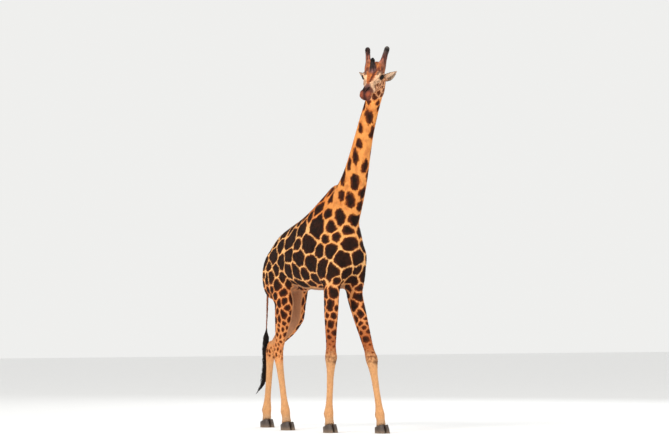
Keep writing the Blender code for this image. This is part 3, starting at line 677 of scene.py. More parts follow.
brow = ramp(0.078 - 0.27 * np.maximum(head[:, 0] - 0.24, 0) - folded[:, 1], -0.008, 0.010)
brow = np.maximum(brow, ramp(0.024 - folded[:, 1], -0.006, 0.006)) * (1 - ramp(head[:, 0], 0.50, 0.54))
brow = np.maximum(brow, 1 - ramp(head[:, 0], 0.17, 0.24)) * ramp(head[:, 2] + 0.25 * head[:, 0], 0.04, 0.09)
smudge = ramp(wander(points, 0.11, 12)[:, 0] + 0.5 * wander(points, 0.04, 13)[:, 0], 0.05, 0.75)
mottle = ramp(wander(points, 0.030, 14)[:, 0] + 0.5 * wander(points, 0.012, 15)[:, 0], -0.1, 0.6)
on_neck = ramp(z, 3.0, 3.4) * (1 - head_share)
off_plane = np.abs(points[:, 1] - 0.041)
nape = on_neck * (1 - ramp(off_plane + 0.02 * wander(points, 0.05, 16)[:, 0], 0.078, 0.106))
nape *= ramp(-facing[:, 0], 0.05, 0.35)
withers = ramp(z, 2.7, 2.9) * (1 - on_neck) * (1 - ramp(off_plane, 0.03, 0.07)) * ramp(facing[:, 2], 0.3, 0.6)
# painted shade: a dark brown band just below each fore knee, on the side turned from the key lamp
shin_painted_shade = np.exp(-((fore_at - 1.07) / 0.045) ** 2) * fore * ramp(facing[:, 1] + 0.5 * facing[:, 0], 0.0, 0.6)
horn_near, horn_up, horn_off = horn_place(points)
at_horn = head_share * (1 - ramp(horn_off - 0.050 + 0.02 * horn_up, 0.0, 0.028)) * ramp(horn_up, -0.05, 0.14)
main_base, middle_base = at_horn * (horn_near < 2), at_horn * (horn_near == 2)
ground = tone_of(
    (1, (255, 204, 136)),
    (ramp(z, 2.75, 3.2), (236, 142, 62)),
    (shoulder * 0.7, (246, 176, 98)),
    (fore * 0.9 + hind * 0.9, (236, 160, 98)),
    (fore * ramp(fore_at, 0.35, 0.7) * 0.85, (174, 92, 46)),
    (smudge * (1 - head_share) * (0.28 + 0.20 * on_neck), (188, 84, 38)),
    # the plain belly and inner thighs: their own unpatched hair, painted a darker grey-brown as shade under the belly
    # and between the thighs
    (plain * 0.95, (190, 138, 104)),
    (stocking, (220, 164, 112)),
    (stocking * mottle * 0.30, (182, 120, 80)),
    (knee * ramp(fore_at, 0.84, 0.95) * mottle * 0.85, (128, 70, 42)),
    (knee * ramp(np.sin(z * 2 * math.pi / 0.075 + 30 * uneven), 0.2, 0.9) * 0.5, (120, 68, 40)),
    (shin_painted_shade * 0.75, (96, 58, 42)),
    (hind * np.exp(-((hind_at - 1.02) / 0.08) ** 2) * mottle * 0.85, (112, 62, 36)),
    (ramp(fore_at, 2.1, 2.5) * fore + ramp(hind_at, 2.1, 2.5) * hind, (196, 154, 116)),
    (nape * 0.86, (78, 34, 26)),
    (withers * 0.6, (96, 46, 34)),
    (head_share * 0.95, (240, 196, 158)),
    (head_share * mottle * 0.30, (188, 126, 92)),
    (head_share * brow, (190, 104, 56)),
    (head_share * brow * mottle * 0.5, (124, 60, 38)),
    (head_share * (1 - ramp(head[:, 0], 0.12, 0.22)) * ramp(head[:, 2], 0.0, 0.05), (166, 96, 62)),
    (blot((0.185, 0.128, 0.085), (0.065, 0.050, 0.050)) * 0.8, (104, 62, 54)),
    (blot((0.250, 0.092, 0.085), (0.035, 0.022, 0.035)) * 0.8, (98, 56, 46)),
    (blot((0.166, 0.080, 0.108), (0.030, 0.022, 0.040)) * 0.7, (84, 42, 34)),
    (blot((0.113, 0.050, 0.150), (0.045, 0.030, 0.050)) * 0.6, (222, 138, 70)),
    (blot((0.385, 0.085, 0.005), (0.085, 0.045, 0.040), 0.6) * (0.45 + 0.45 * mottle), (84, 58, 48)),
    (blot((0.340, 0.100, -0.045), (0.045, 0.040, 0.014), 0.5) * 0.6, (96, 62, 46)),
    # a dark brown line down each side of the nose ridge, at the edge of the orange forehead: partly the hide's own
    # colour, partly painted shade on the ridge's flank
    (stripe([(0.20, 0.052, 0.115), (0.284, 0.034, 0.092), (0.358, 0.020, 0.071), (0.42, 0.008, 0.060)], 0.015) * 0.85,
     (88, 40, 26)),
    (stripe([(0.22, -0.052, 0.110), (0.30, -0.040, 0.085), (0.39, -0.026, 0.062)], 0.030, 0.5, turned) * 0.75,
     (206, 116, 58)),
    (blot((0.300, 0.0, 0.10), (0.06, 0.014, 0.05)) * 0.6, (222, 130, 62)),
    (stripe([(0.28, -0.076, 0.074), (0.335, -0.066, 0.058)], 0.014, 0.5, turned) * 0.8, (248, 206, 158)),
    (head_share * muzzle, (122, 68, 48)),
    (head_share * ramp(head[:, 0], 0.585, 0.625) * ramp(head[:, 2], -0.050, -0.030), (118, 60, 44)),
    (blot((0.640, 0.050, -0.010), (0.045, 0.024, 0.022), 0.6) * 0.5, (178, 92, 56)),
    (blot((0.600, 0.072, -0.030), (0.050, 0.022, 0.014), 0.6) * 0.6, (206, 118, 62)),
    (head_share * muzzle * mottle * 0.6, (74, 38, 30)),
    (blot((0.525, 0.018, 0.050), (0.070, 0.042, 0.036)) * 0.85, (100, 68, 64)),
    (blot((0.578, 0.030, 0.030), (0.040, 0.042, 0.034), 0.5) * 0.88, (42, 26, 25)),
    (stripe([(0.585, 0.0, 0.040), (0.625, 0.0, 0.022), (0.665, 0.0, -0.020), (0.680, 0.0, -0.060)], 0.024) * 0.9,
     (52, 24, 21)),
    (head_share * ramp(-head[:, 2], 0.070, 0.092) * ramp(head[:, 0], 0.50, 0.57), (112, 46, 34)),
    (blot((0.560, 0.060, -0.085), (0.050, 0.030, 0.030)) * 0.9, (226, 156, 78)),
    # painted shade: near black inside the nostrils' slits and along the crease between the lips
    (head_share * (slit < 0.03) * (1 - ramp(slit, 0.004, 0.014)), (26, 17, 17)),
    (head_share * (1 - ramp(mouth, 0.003, 0.010)), (48, 24, 22)),
    (outer * (1 - ramp(np.hypot(eye_x + 0.046, eye_y + 0.004), 0.008, 0.022)) * 0.8, (250, 216, 186)),
    (outer * (1 - ramp(np.hypot(eye_x - 0.008, eye_y + 0.009), 0.034, 0.050)) * 0.94, (38, 26, 24)),
    (stripe([(0.262, 0.150, 0.030), (0.300, 0.128, 0.046), (0.320, 0.114, 0.052)], 0.019) * 0.88, (34, 24, 23)),
    (outer * (eye_off < 0.06) * (1 - ramp(lids, 0.004, 0.012)), (18, 14, 14)),
    (tail_share(points) * 0.85, (132, 70, 44)),
    (main_base, (168, 92, 58)),
    (main_base * mottle * 0.5, (104, 54, 40)),
    (middle_base, (112, 74, 68)),
)


def set_values(mesh, name, values):
    """Keeps a value or a colour for each of the mesh's points under a name."""
    if values.ndim == 1:
        layer = mesh.attributes.new(name, "FLOAT", "POINT")
        layer.data.foreach_set("value", values.astype(np.float32))
    else:
        layer = mesh.attributes.new(name, "FLOAT_COLOR", "POINT")
        full = np.ones((len(values), 4), np.float32)
        full[:, :3] = values
        layer.data.foreach_set("color", full.ravel())


set_values(skin_mesh, "ground", ground)
set_values(skin_mesh, "inner", inner)


def node_group(name, takes, gives):
    """An empty shader group with its inputs, given with their values, and its outputs."""
    tree = bpy.data.node_groups.new(name, "ShaderNodeTree")
    for label, kind, value in takes:
        socket = tree.interface.new_socket(label, in_out="INPUT", socket_type="NodeSocket" + kind)
        if value is not None:
            socket.default_value = value
    for label, kind in gives:
        tree.interface.new_socket(label, in_out="OUTPUT", socket_type="NodeSocket" + kind)
    return tree, tree.nodes.new("NodeGroupInput").outputs, tree.nodes.new("NodeGroupOutput").inputs


def mixed(tree, share, a, b, way="MIX"):
    """Two colours mixed by a share."""
    made = add(tree, "Mix", {"data_type": "RGBA", "blend_type": way}, _0=share, _6=a, _7=b)
    return made.outputs[2]


# Markings: takes the colour of the ground hair and the distance inside a patch, and gives the
# hair's colour with dark patches, russet rims and deeper orange along the edges of the network.
marks, given, out = node_group(
    "Giraffe markings",
    [("Place", "Vector", None), ("Ground", "Color", (0.8, 0.4, 0.1, 1)), ("Inner", "Float", 0.0),
     ("Core", "Color", (*linear(20, 9, 4), 1)), ("Rim", "Color", (*linear(98, 44, 19), 1))],
    [("Color", "Color"), ("Mask", "Float")])
ragged = add(marks, "TexNoise", Vector=given["Place"], Scale=75.0, Detail=3.0, Roughness=0.6)
shift = add(marks, "MapRange", Value=ragged.outputs["Fac"], _1=0.3, _2=0.7, _3=-0.004, _4=0.004)
inside = add(marks, "Math", {"operation": "ADD"}, _0=given["Inner"], _1=shift.outputs[0])
mask = add(marks, "MapRange", {"interpolation_type": "SMOOTHSTEP"}, Value=inside.outputs[0], _1=-0.0035, _2=0.0035)
deep = add(marks, "MapRange", {"interpolation_type": "SMOOTHSTEP"}, Value=inside.outputs[0], _1=-0.001, _2=0.024)
warm = add(marks, "MapRange", {"interpolation_type": "SMOOTHSTEP"}, Value=inside.outputs[0],
           _1=-0.0075, _2=0.0, _3=0.0, _4=0.9)
cloud = add(marks, "TexNoise", Vector=given["Place"], Scale=14.0, Detail=5.0, Roughness=0.65)
cloudy = add(marks, "MapRange", Value=cloud.outputs["Fac"], _1=0.35, _2=0.8, _3=0.0, _4=0.34)
core = mixed(marks, cloudy.outputs[0], given["Core"], given["Rim"])
patch = mixed(marks, deep.outputs[0], given["Rim"], core)
deeper = mixed(marks, 1.0, given["Ground"], (0.94, 0.64, 0.42, 1), "MULTIPLY")
network = mixed(marks, warm.outputs[0], given["Ground"], deeper)
marks.links.new(mixed(marks, mask.outputs[0], network, patch), out["Color"])
marks.links.new(mask.outputs[0], out["Mask"])

# Lying hair: thin streaks along the lie of the coat. Takes the place and the direction of the lie as
# a turn, and gives a height for the bump and a share by which the hair's colour varies.
combs, given, out = node_group(
    "Lying hair",
    [("Place", "Vector", None), ("Turn", "Vector", (0, 0, 0)), ("Width", "Float", 0.002)],
    [("Height", "Float")])
turned = add(combs, "VectorRotate", {"rotation_type": "EULER_XYZ"}, Vector=given["Place"], Rotation=given["Turn"])
fine = add(combs, "Math", {"operation": "DIVIDE"}, _0=1.0, _1=given["Width"])
drawn = add(combs, "VectorMath", {"operation": "MULTIPLY"}, _0=turned.outputs[0], _1=(0.09, 1.0, 1.0))
strands = add(combs, "TexNoise", Vector=drawn.outputs[0], Scale=fine.outputs[0], Detail=2.0, Roughness=0.55)
clumps = add(combs, "Math", {"operation": "MULTIPLY"}, _0=fine.outputs[0], _1=0.22)
locks_wide = add(combs, "TexNoise", Vector=drawn.outputs[0], Scale=clumps.outputs[0], Detail=2.0)
both = add(combs, "Math", {"operation": "MULTIPLY_ADD"}, _0=strands.outputs["Fac"], _1=0.55,
           _2=locks_wide.outputs["Fac"])
combs.links.new(both.outputs[0], out["Height"])


def grouped(tree, group, **inputs):
    made = add(tree, "Group", {"node_tree": group})
    for key, value in inputs.items():
        socket = made.inputs[key.replace("_", " ")]
        if isinstance(value, bpy.types.NodeSocket):
            tree.links.new(value, socket)
        else:
            socket.default_value = value
    return made


def coat_material(name, width, depth, vary):
    """Short glossy hair over hide, with the markings that the mesh carries."""
    made, tree, shader, place = material(name)
    ground = add(tree, "Attribute", {"attribute_name": "ground"}).outputs["Color"]
    inner = add(tree, "Attribute", {"attribute_name": "inner"}).outputs["Fac"]
    marked = grouped(tree, marks, Place=place, Ground=ground, Inner=inner)
    back = grouped(tree, combs, Place=place, Turn=(0, math.radians(-35), 0), Width=width)
    down = grouped(tree, combs, Place=place, Turn=(0, math.radians(82), 0), Width=width)
    height = add(tree, "SeparateXYZ", Vector=place).outputs["Z"]
    limb = add(tree, "MapRange", {"interpolation_type": "SMOOTHSTEP"}, Value=height, _1=1.8, _2=2.1)
    nape = add(tree, "MapRange", {"interpolation_type": "SMOOTHSTEP"}, Value=height, _1=3.1, _2=3.4,
               _3=1.0, _4=0.0)
    on_trunk = add(tree, "Math", {"operation": "MULTIPLY"}, _0=limb.outputs[0], _1=nape.outputs[0])
    hair = add(tree, "Mix", _0=on_trunk.outputs[0], _2=down.outputs[0], _3=back.outputs[0]).outputs[0]
    lit = add(tree, "MapRange", Value=hair, _1=0.55, _2=1.0, _3=1 - vary, _4=1 + vary)
    tinted = mixed(tree, 1.0, marked.outputs["Color"], lit.outputs[0], "MULTIPLY")
    tree.links.new(tinted, shader.inputs["Base Color"])
    rough = add(tree, "MapRange", Value=hair, _1=0.5, _2=1.1, _3=0.62, _4=0.82)
    tree.links.new(rough.outputs[0], shader.inputs["Roughness"])
    raised = add(tree, "Bump", Strength=0.55, Distance=depth, Height=hair)
    tree.links.new(raised.outputs[0], shader.inputs["Normal"])
    shader.inputs["Specular IOR Level"].default_value = 0.16
    shader.inputs["Sheen Weight"].default_value = 0.015
    shader.inputs["Sheen Roughness"].default_value = 0.45
    shader.inputs["Sheen Tint"].default_value = (1.0, 0.86, 0.70, 1)
    return made


hide_look = coat_material("hide_and_short_hair", 0.0022, 0.0016, 0.16)
skin_mesh.materials.clear()
skin_mesh.materials.append(hide_look)
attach(skin, "root")
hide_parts(*FLESH)

# The skin's own unwrap is the map that every lock shares: each lock takes a small patch of it near its root.
bpy.context.view_layer.objects.active = skin
skin.select_set(True)
skin_mesh.uv_layers.new(name="OFBake")
bpy.ops.object.mode_set(mode="EDIT")
bpy.ops.mesh.select_all(action="SELECT")
bpy.ops.uv.smart_project(angle_limit=math.radians(66), island_margin=0.001)
bpy.ops.object.mode_set(mode="OBJECT")
skin.select_set(False)

# ---------------------------------------------------------------- coat
# Short hair grows in small flat locks that overlap and lie back along the trunk and down the limbs.
# They are smallest on the face and feet and longest under the belly, at the elbows and the heels.
skin_mesh.calc_loop_triangles()
corners = np.empty(len(skin_mesh.loop_triangles) * 3, np.int32)
skin_mesh.loop_triangles.foreach_get("vertices", corners)
corners = corners.reshape(-1, 3)
loops = np.empty(len(skin_mesh.loop_triangles) * 3, np.int32)
skin_mesh.loop_triangles.foreach_get("loops", loops)
loops = loops.reshape(-1, 3)
unwrapped = np.empty(len(skin_mesh.loops) * 2, np.float32)
skin_mesh.uv_layers["OFBake"].uv.foreach_get("vector", unwrapped)
unwrapped = unwrapped.reshape(-1, 2).astype(float)


def blended_by(shares, values, picked):
    """Values of the picked triangles' corners, mixed by each root's shares."""
    return sum(shares[:, k, None] * values[picked[:, k]] for k in range(3))


def unit(vectors):
    return vectors / np.maximum(np.linalg.norm(vectors, axis=1), 1e-9)[:, None]


def lie_of(points, out_of):
    """The way the hair lies at each point: back along the trunk, down neck and limbs, up the face."""
    z = points[:, 2][:, None]
    lie = np.tile([-0.80, 0.0, -0.60], (len(points), 1))
    down = ramp(z, 2.9, 3.4)
    lie = lie * (1 - down) + down * np.array([-0.36, 0.0, -0.93])
    limb = 1 - ramp(z, 1.8, 2.2)
    lie = lie * (1 - limb) + limb * np.array([-0.15, 0.0, -1.0])
    face = is_head(points)[:, None]
    lie = lie * (1 - face) + face * (-0.8 * np.array(AHEAD) - 0.45 * np.array(UP))
    lie = lie + wander(points, 0.09, 5) * 0.35
    lie = lie - out_of * np.sum(lie * out_of, 1)[:, None]
    return unit(lie)


def locks(name, paths, widths, out_of, uv, values, look, thick=0.55):
    """Three-sided tapering locks along paths of equal steps, each ending in a point, as one mesh.
    Values are kept on all the points of a lock, and its map is a small patch at its root."""
    count, steps, _ = paths.shape
    run = unit((paths[:, 1:] - paths[:, :-1]).reshape(-1, 3)).reshape(count, steps - 1, 3)
    up = out_of[:, None, :] - run * np.sum(run * out_of[:, None, :], 2)[:, :, None]
    up = unit(up.reshape(-1, 3)).reshape(run.shape)
    side = np.cross(run, up)
    w = widths[:, :-1, None]
    body = paths[:, :-1]
    rings = np.stack([body + side * w, body - side * w, body + up * w * thick], 2)
    points = np.concatenate([rings.reshape(count, -1, 3), paths[:, -1:]], 1)
    per = points.shape[1]
    faces = [(0, 1, 2)]
    for s in range(steps - 2):
        for k in range(3):
            a, b = s * 3 + k, s * 3 + (k + 1) % 3
            faces += [(a, a + 3, b + 3), (a, b + 3, b)]
    last = (steps - 2) * 3
    faces += [(last + k, per - 1, last + (k + 1) % 3) for k in range(3)]
    faces = np.array(faces)
    every = (faces[None] + (np.arange(count) * per)[:, None, None]).reshape(-1)
    mesh = bpy.data.meshes.new(name)
    mesh.vertices.add(count * per)
    mesh.vertices.foreach_set("co", points.astype(np.float32).ravel())
    mesh.loops.add(len(every))
    mesh.loops.foreach_set("vertex_index", every.astype(np.int32))
    mesh.polygons.add(len(every) // 3)
    mesh.polygons.foreach_set("loop_start", np.arange(0, len(every), 3, dtype=np.int32))
    layer = mesh.uv_layers.new(name="OFBake")
    step_of = np.linspace(-0.0015, 0.0015, steps)
    patch = np.concatenate([np.array([[-0.0015, t], [0.0015, t], [0.0, t + 0.0002]]) for t in step_of[:-1]]
                           + [np.array([[0.0, 0.0015]])])
    spread = np.clip(uv[:, None, :] + patch[None], 0, 1).reshape(-1, 2)
    layer.uv.foreach_set("vector", spread[every].astype(np.float32).ravel())
    for key, value in values.items():
        set_values(mesh, key, np.repeat(value, per, axis=0))
    mesh.update()
    mesh.validate()
    mesh.shade_smooth()
    mesh.materials.append(look)
    return new_object(name, mesh)


tuft_look, tree, shader, place = material("lying_locks")
ground_hair = add(tree, "Attribute", {"attribute_name": "ground"}).outputs["Color"]
inner_hair = add(tree, "Attribute", {"attribute_name": "inner"}).outputs["Fac"]
shade = add(tree, "Attribute", {"attribute_name": "shade"}).outputs["Fac"]
marked = grouped(tree, marks, Place=place, Ground=ground_hair, Inner=inner_hair)
tinted = mixed(tree, 1.0, marked.outputs["Color"], shade, "MULTIPLY")
tree.links.new(tinted, shader.inputs["Base Color"])
dull = add(tree, "MapRange", Value=shade, _1=0.8, _2=1.2, _3=0.80, _4=0.62)
tree.links.new(dull.outputs[0], shader.inputs["Roughness"])
shader.inputs["Specular IOR Level"].default_value = 0.16
shader.inputs["Sheen Weight"].default_value = 0.015
shader.inputs["Sheen Tint"].default_value = (1.0, 0.86, 0.70, 1)

tri_points = points[corners]
tri_area = np.linalg.norm(np.cross(tri_points[:, 1] - tri_points[:, 0], tri_points[:, 2] - tri_points[:, 0]), axis=1)
middles = tri_points.mean(1)


def roots(count, weight, seed):
    """Places scattered evenly over the skin by a weight for each of its triangles: their points, the
    skin's normals, the colours and depths of the markings, and the map's places."""
    rng = np.random.default_rng(seed)
    total = np.cumsum(tri_area * weight)
    picked = np.searchsorted(total, (np.arange(count) + rng.random(count)) / count * total[-1])
    a, b = rng.random(count), rng.random(count)
    over = a + b > 1
    a[over], b[over] = 1 - a[over], 1 - b[over]
    shares = np.stack([1 - a - b, a, b], 1)
    return (blended_by(shares, points, corners[picked]), unit(blended_by(shares, facing, corners[picked])),
            blended_by(shares, ground, corners[picked]), blended_by(shares, inner[:, None], corners[picked])[:, 0],
            blended_by(shares, unwrapped, loops[picked]), rng)


def coat_length(points, out_of):
    """The length of the hair at each point."""
    z = points[:, 2]
    fore, fore_at, hind, hind_at = leg_terms(points)
    length = 0.022 + 0.010 * ramp(-out_of[:, 2], 0.6, 0.95) * ramp(z, 1.8, 2.0)
    limb = np.clip(fore + hind, 0, 1)
    at = np.where(points[:, 0] > -0.1, fore_at, hind_at)
    leg = 0.018 - 0.005 * ramp(at, 0.8, 1.2)
    heel = ramp(at, 1.75, 1.95) * (1 - ramp(at, 2.2, 2.45)) * ramp(-out_of[:, 0], 0.2, 0.8)
    leg = leg + 0.016 * heel + 0.010 * ramp(at, 2.45, 2.6)
    length = length * (1 - limb) + leg * limb
    head = head_place(points)
    face = is_head(points)
    short = 0.010 - 0.004 * ramp(head[:, 0], 0.40, 0.52)
    return length * (1 - face) + short * face


def coat_weight(points):
    """How densely the locks stand, compared with the trunk's."""
    head = head_place(points)
    face = is_head(points)
    limb = 1 - ramp(points[:, 2], 1.6, 2.0)
    return (1 + 0.5 * limb) * (1 - face) + 4.0 * face * (1 - 0.97 * ramp(head[:, 0], 0.56, 0.60))


LAYERS = 5
PER_LAYER = 46000
dense = coat_weight(middles)
middle_head = head_place(middles)
eye_x, eye_y, eye_out = eye_place(middle_head)
bare = (middles[:, 2] > 4.4) & (eye_out > 0) & (lid_edge(eye_x, eye_y) < 0.007)
bare |= (middles[:, 2] > 4.4) & (along(np.stack([middle_head[:, 0], np.abs(middle_head[:, 1]), middle_head[:, 2]], 1),
                                       NOSTRIL)[1] < 0.012)
_, up_horn, off_horn = horn_place(middles)
bare |= (up_horn > 0.30) & (off_horn < 0.05)
dense = np.where(bare, 0.0, dense)
for layer_number in range(LAYERS):
    at, out_of, tone, depth_in, uv, rng = roots(PER_LAYER, dense, 100 + layer_number)
    lie = lie_of(at, out_of)
    length = coat_length(at, out_of) * rng.uniform(0.75, 1.2, len(at))
    lift = length * rng.uniform(0.06, 0.16, len(at)) + 0.0004
    raised = rng.random(len(at)) < 0.05
    lift = np.where(raised, lift * 2.0, lift)
    width = length * rng.uniform(0.075, 0.12, len(at))
    start = at - out_of * 0.0006
    end = at + lie * length[:, None] + out_of * lift[:, None]
    paths = np.stack([start, end], 1)
    widths = np.stack([width, width * 0], 1)
    shade = rng.uniform(0.84, 1.16, len(at))
    coat = locks(f"coat_layer_{layer_number + 1}", paths, widths, out_of, uv,
                 {"ground": tone, "inner": depth_in, "shade": shade}, tuft_look)
    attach(coat, "root")

# Longer bent locks stand where the hair breaks the form: belly, elbows, heels, throat and hoof edges.
longer = coat_length(middles, unit(facing[corners].mean(1)))
fringe_weight = np.where(bare, 0, ramp(longer, 0.022, 0.030) + 0.06)
at, out_of, tone, depth_in, uv, rng = roots(14000, fringe_weight, 77)
lie = lie_of(at, out_of)
length = coat_length(at, out_of) * rng.uniform(0.8, 1.35, len(at))
bow = rng.uniform(0.10, 0.24, len(at))[:, None]
mid = at + lie * (length * 0.5)[:, None] + out_of * (length * 0.5)[:, None] * bow * 1.5
end = at + lie * length[:, None] + out_of * length[:, None] * bow + np.array([0, 0, -0.1]) * length[:, None]
width = length * 0.07
fringe = locks("coat_fringes", np.stack([at - out_of * 0.0006, mid, end], 1),
               np.stack([width, width * 0.8, width * 0], 1), out_of, uv,
               {"ground": tone, "inner": depth_in, "shade": rng.uniform(0.85, 1.12, len(at))}, tuft_look)
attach(fringe, "root")

# ---------------------------------------------------------------- mane
# A low crest of stiff upright hair runs down the nape from between the ears to the withers. It is
# dark maroon, and its locks stand side by side a few deep.
MANE_HEIGHT = 0.062
MANE_HALF = 0.017
surface = BVHTree.FromPolygons([Vector(p) for p in points], [tuple(p.vertices) for p in skin_mesh.polygons])
spots = KDTree(len(points))
for i, p in enumerate(points):
    spots.insert(p, i)
spots.balance()
point_uv = np.zeros((len(points), 2))
loop_points = np.empty(len(skin_mesh.loops), np.int32)
skin_mesh.loops.foreach_get("vertex_index", loop_points)
point_uv[loop_points] = unwrapped


def dark_hair(name, root, tip, gloss):
    """Coarse dark hair whose colour runs from root to tip and changes from lock to lock."""
    made, tree, shader, place = material(name)
    shade = add(tree, "Attribute", {"attribute_name": "shade"}).outputs["Fac"]
    speck = add(tree, "TexNoise", Vector=place, Scale=90.0, Detail=3.0)
    mixing = add(tree, "MapRange", Value=speck.outputs["Fac"], _1=0.35, _2=0.7)
    colour = mixed(tree, mixing.outputs[0], (*linear(*root), 1), (*linear(*tip), 1))
    tree.links.new(mixed(tree, 1.0, colour, shade, "MULTIPLY"), shader.inputs["Base Color"])
    rough = add(tree, "MapRange", Value=speck.outputs["Fac"], _3=gloss - 0.1, _4=gloss + 0.1)
    tree.links.new(rough.outputs[0], shader.inputs["Roughness"])
    shader.inputs["Specular IOR Level"].default_value = 0.18
    return made


mane_look = dark_hair("mane_hair", (58, 24, 20), (112, 52, 36), 0.72)
rng = np.random.default_rng(21)
count = 6500
line = np.array(NECK_LINE)
line_at = np.concatenate([[0], np.cumsum(np.linalg.norm(np.diff(line, axis=0), axis=1))])
start, stop = line_at[2] + 0.06, line_at[8] - 0.015
paths, out_of, mane_uv = [], [], []
for k in range(count):
    t = (k + rng.random()) / count
    s = start + (stop - start) * t
    centre = np.array([np.interp(s, line_at, line[:, i]) for i in range(3)])
    ahead = np.array([np.interp(s + 0.05, line_at, line[:, i]) for i in range(3)])
    run = unit((ahead - centre)[None])[0] if s < stop - 0.05 else run
    nape = np.array([-run[2], 0, run[0]])
    offset = np.clip(rng.normal(0, 0.5), -1, 1) * MANE_HALF
    hit = surface.ray_cast(Vector(centre + nape * 0.5 + np.array([0, offset, 0])), Vector(-nape), 0.6)
    if hit[0] is None:
        continue
    root = np.array(hit[0])
    tall = MANE_HEIGHT * min(1, 0.3 + 3.2 * t) * min(1, 0.45 + (1 - t) * 6) * rng.uniform(0.72, 1.04)
    tall *= 1 - 0.25 * abs(offset / MANE_HALF)
    way = nape + run * rng.normal(-0.10, 0.12) + np.array([0, offset * 9 + rng.normal(0, 0.08), 0])
    way = unit(way[None])[0]
    bent = way + run * rng.normal(-0.12, 0.10)
    paths.append([root - way * 0.004, root + way * tall * 0.5, root + (way * 0.5 + bent * 0.5) * tall])
    out_of.append(run)
    mane_uv.append(point_uv[spots.find(root)[1]])
paths, out_of, mane_uv = np.array(paths), np.array(out_of), np.array(mane_uv)
thickness = rng.uniform(0.0009, 0.0017, len(paths))
mane = locks("mane_locks", paths, thickness[:, None] * np.array([1.0, 0.85, 0.0]), out_of, mane_uv,
             {"shade": rng.uniform(0.7, 1.3, len(paths))}, mane_look, thick=1.2)
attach(mane, "root")
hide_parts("mane")

# ---------------------------------------------------------------- tail tuft
# Long black wavy hair hangs from the end of the dock in locks that gather to a few points.
TAIL_LINE = packed([
    (-1.449, 0.113, 1.46, 0.015), (-1.466, 0.118, 1.41, 0.022), (-1.490, 0.128, 1.32, 0.044),
    (-1.512, 0.136, 1.18, 0.050), (-1.520, 0.138, 1.00, 0.045), (-1.530, 0.138, 0.84, 0.045),
    (-1.560, 0.134, 0.70, 0.048), (-1.615, 0.120, 0.60, 0.038), (-1.690, 0.100, 0.52, 0.020),
    (-1.720, 0.094, 0.475, 0.004),
])
tail_look = dark_hair("tail_hair", (17, 14, 14), (44, 34, 31), 0.5)
tail_line = np.array(TAIL_LINE)
tail_at = np.concatenate([[0], np.cumsum(np.linalg.norm(np.diff(tail_line[:, :3], axis=0), axis=1))])
tail_at /= tail_at[-1]
rng = np.random.default_rng(31)
count = 1100
steps = 14
begin = rng.random(count) ** 1.6 * 0.60
reach = rng.uniform(0.30, 0.48, count)
finish_at = np.minimum(begin + reach, 1.0)
strand = rng.integers(0, 7, count)
strand_angle = rng.uniform(0, 2 * math.pi, 7)[strand]
own_angle = rng.uniform(0, 2 * math.pi, count)
own_off = np.sqrt(rng.random(count))
paths = np.zeros((count, steps, 3))
for k in range(steps):
    u = k / (steps - 1)
    s = begin + (finish_at - begin) * u
    centre = np.stack([np.interp(s, tail_at, tail_line[:, i]) for i in range(3)], 1)
    thick = np.interp(s, tail_at, tail_line[:, 3])
    gather = ramp(np.array([u]), 0.25, 0.9)[0] * 0.85
    spread = min(1.0, 0.35 + 2.2 * u)
    across = np.cos(own_angle) * own_off * (1 - gather) + np.cos(strand_angle) * 0.85 * gather
    deep = np.sin(own_angle) * own_off * (1 - gather) + np.sin(strand_angle) * 0.85 * gather
    wave = (0.30 * np.sin(s * 30 + strand * 1.7) + 0.10 * np.sin(s * 85 + own_angle)) * ramp(s, 0.05, 0.3)
    sway = 0.012 * np.sin(s * 17 + 0.6) * ramp(s, 0.1, 0.4)
    centre = centre + np.stack([sway, -0.6 * sway, 0 * sway], 1)
    paths[:, k] = centre + np.stack([(across + wave) * thick, (deep + wave * 0.6) * thick, 0 * s], 1) * 0.92 * spread
widths = rng.uniform(0.0014, 0.0028, count)[:, None] * np.array([0.6] + [1.0] * 7 + [0.9, 0.8, 0.7, 0.55, 0.35, 0])
tail_uv = np.tile(point_uv[spots.find(TAIL_LINE[0][:3])[1]], (count, 1)) + rng.uniform(-0.01, 0.01, (count, 2))
outward = np.stack([np.cos(own_angle), np.sin(own_angle), 0 * own_angle], 1)
tassel = locks("tail_locks", paths, widths, outward, tail_uv, {"shade": rng.uniform(0.6, 1.5, count)}, tail_look, 1.2)
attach(tassel, "root")
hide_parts("tail_tuft")

# ---------------------------------------------------------------- horns
# Three bony horns grow from the skull under hide and short hair. The two main ones end in worn bare
# knobs with a ring of black hair, and the third is a blunt cone on the forehead.
MAIN_RADII = [0.060, 0.058, 0.052, 0.043, 0.036, 0.034, 0.033, 0.034, 0.036]
SWELL = [0.007 * math.sin(math.pi * i / 8) for i in range(9)]  # the left horn is the stouter one
HORNS = {
    "horn_left": ([r + s for r, s in zip(MAIN_RADII, SWELL)],
                  ((0.0, (170, 98, 60)), (0.22, (150, 92, 66)), (0.40, (118, 70, 56)), (0.58, (94, 54, 46)),
                   (0.70, (72, 52, 48)), (0.84, (60, 54, 52)), (1.0, (78, 72, 68)))),
    "horn_right": (MAIN_RADII,
                   ((0.0, (176, 102, 62)), (0.30, (158, 98, 70)), (0.50, (132, 80, 62)), (0.68, (92, 52, 44)),
                    (0.82, (64, 40, 38)), (1.0, (64, 48, 46)))),
    "horn_middle": ([0.060, 0.056, 0.048, 0.040, 0.033, 0.025],
                    ((0.0, (132, 88, 80)), (0.25, (104, 70, 66)), (0.42, (64, 42, 40)), (0.62, (34, 24, 24)),
                     (1.0, (28, 23, 23)))),
}


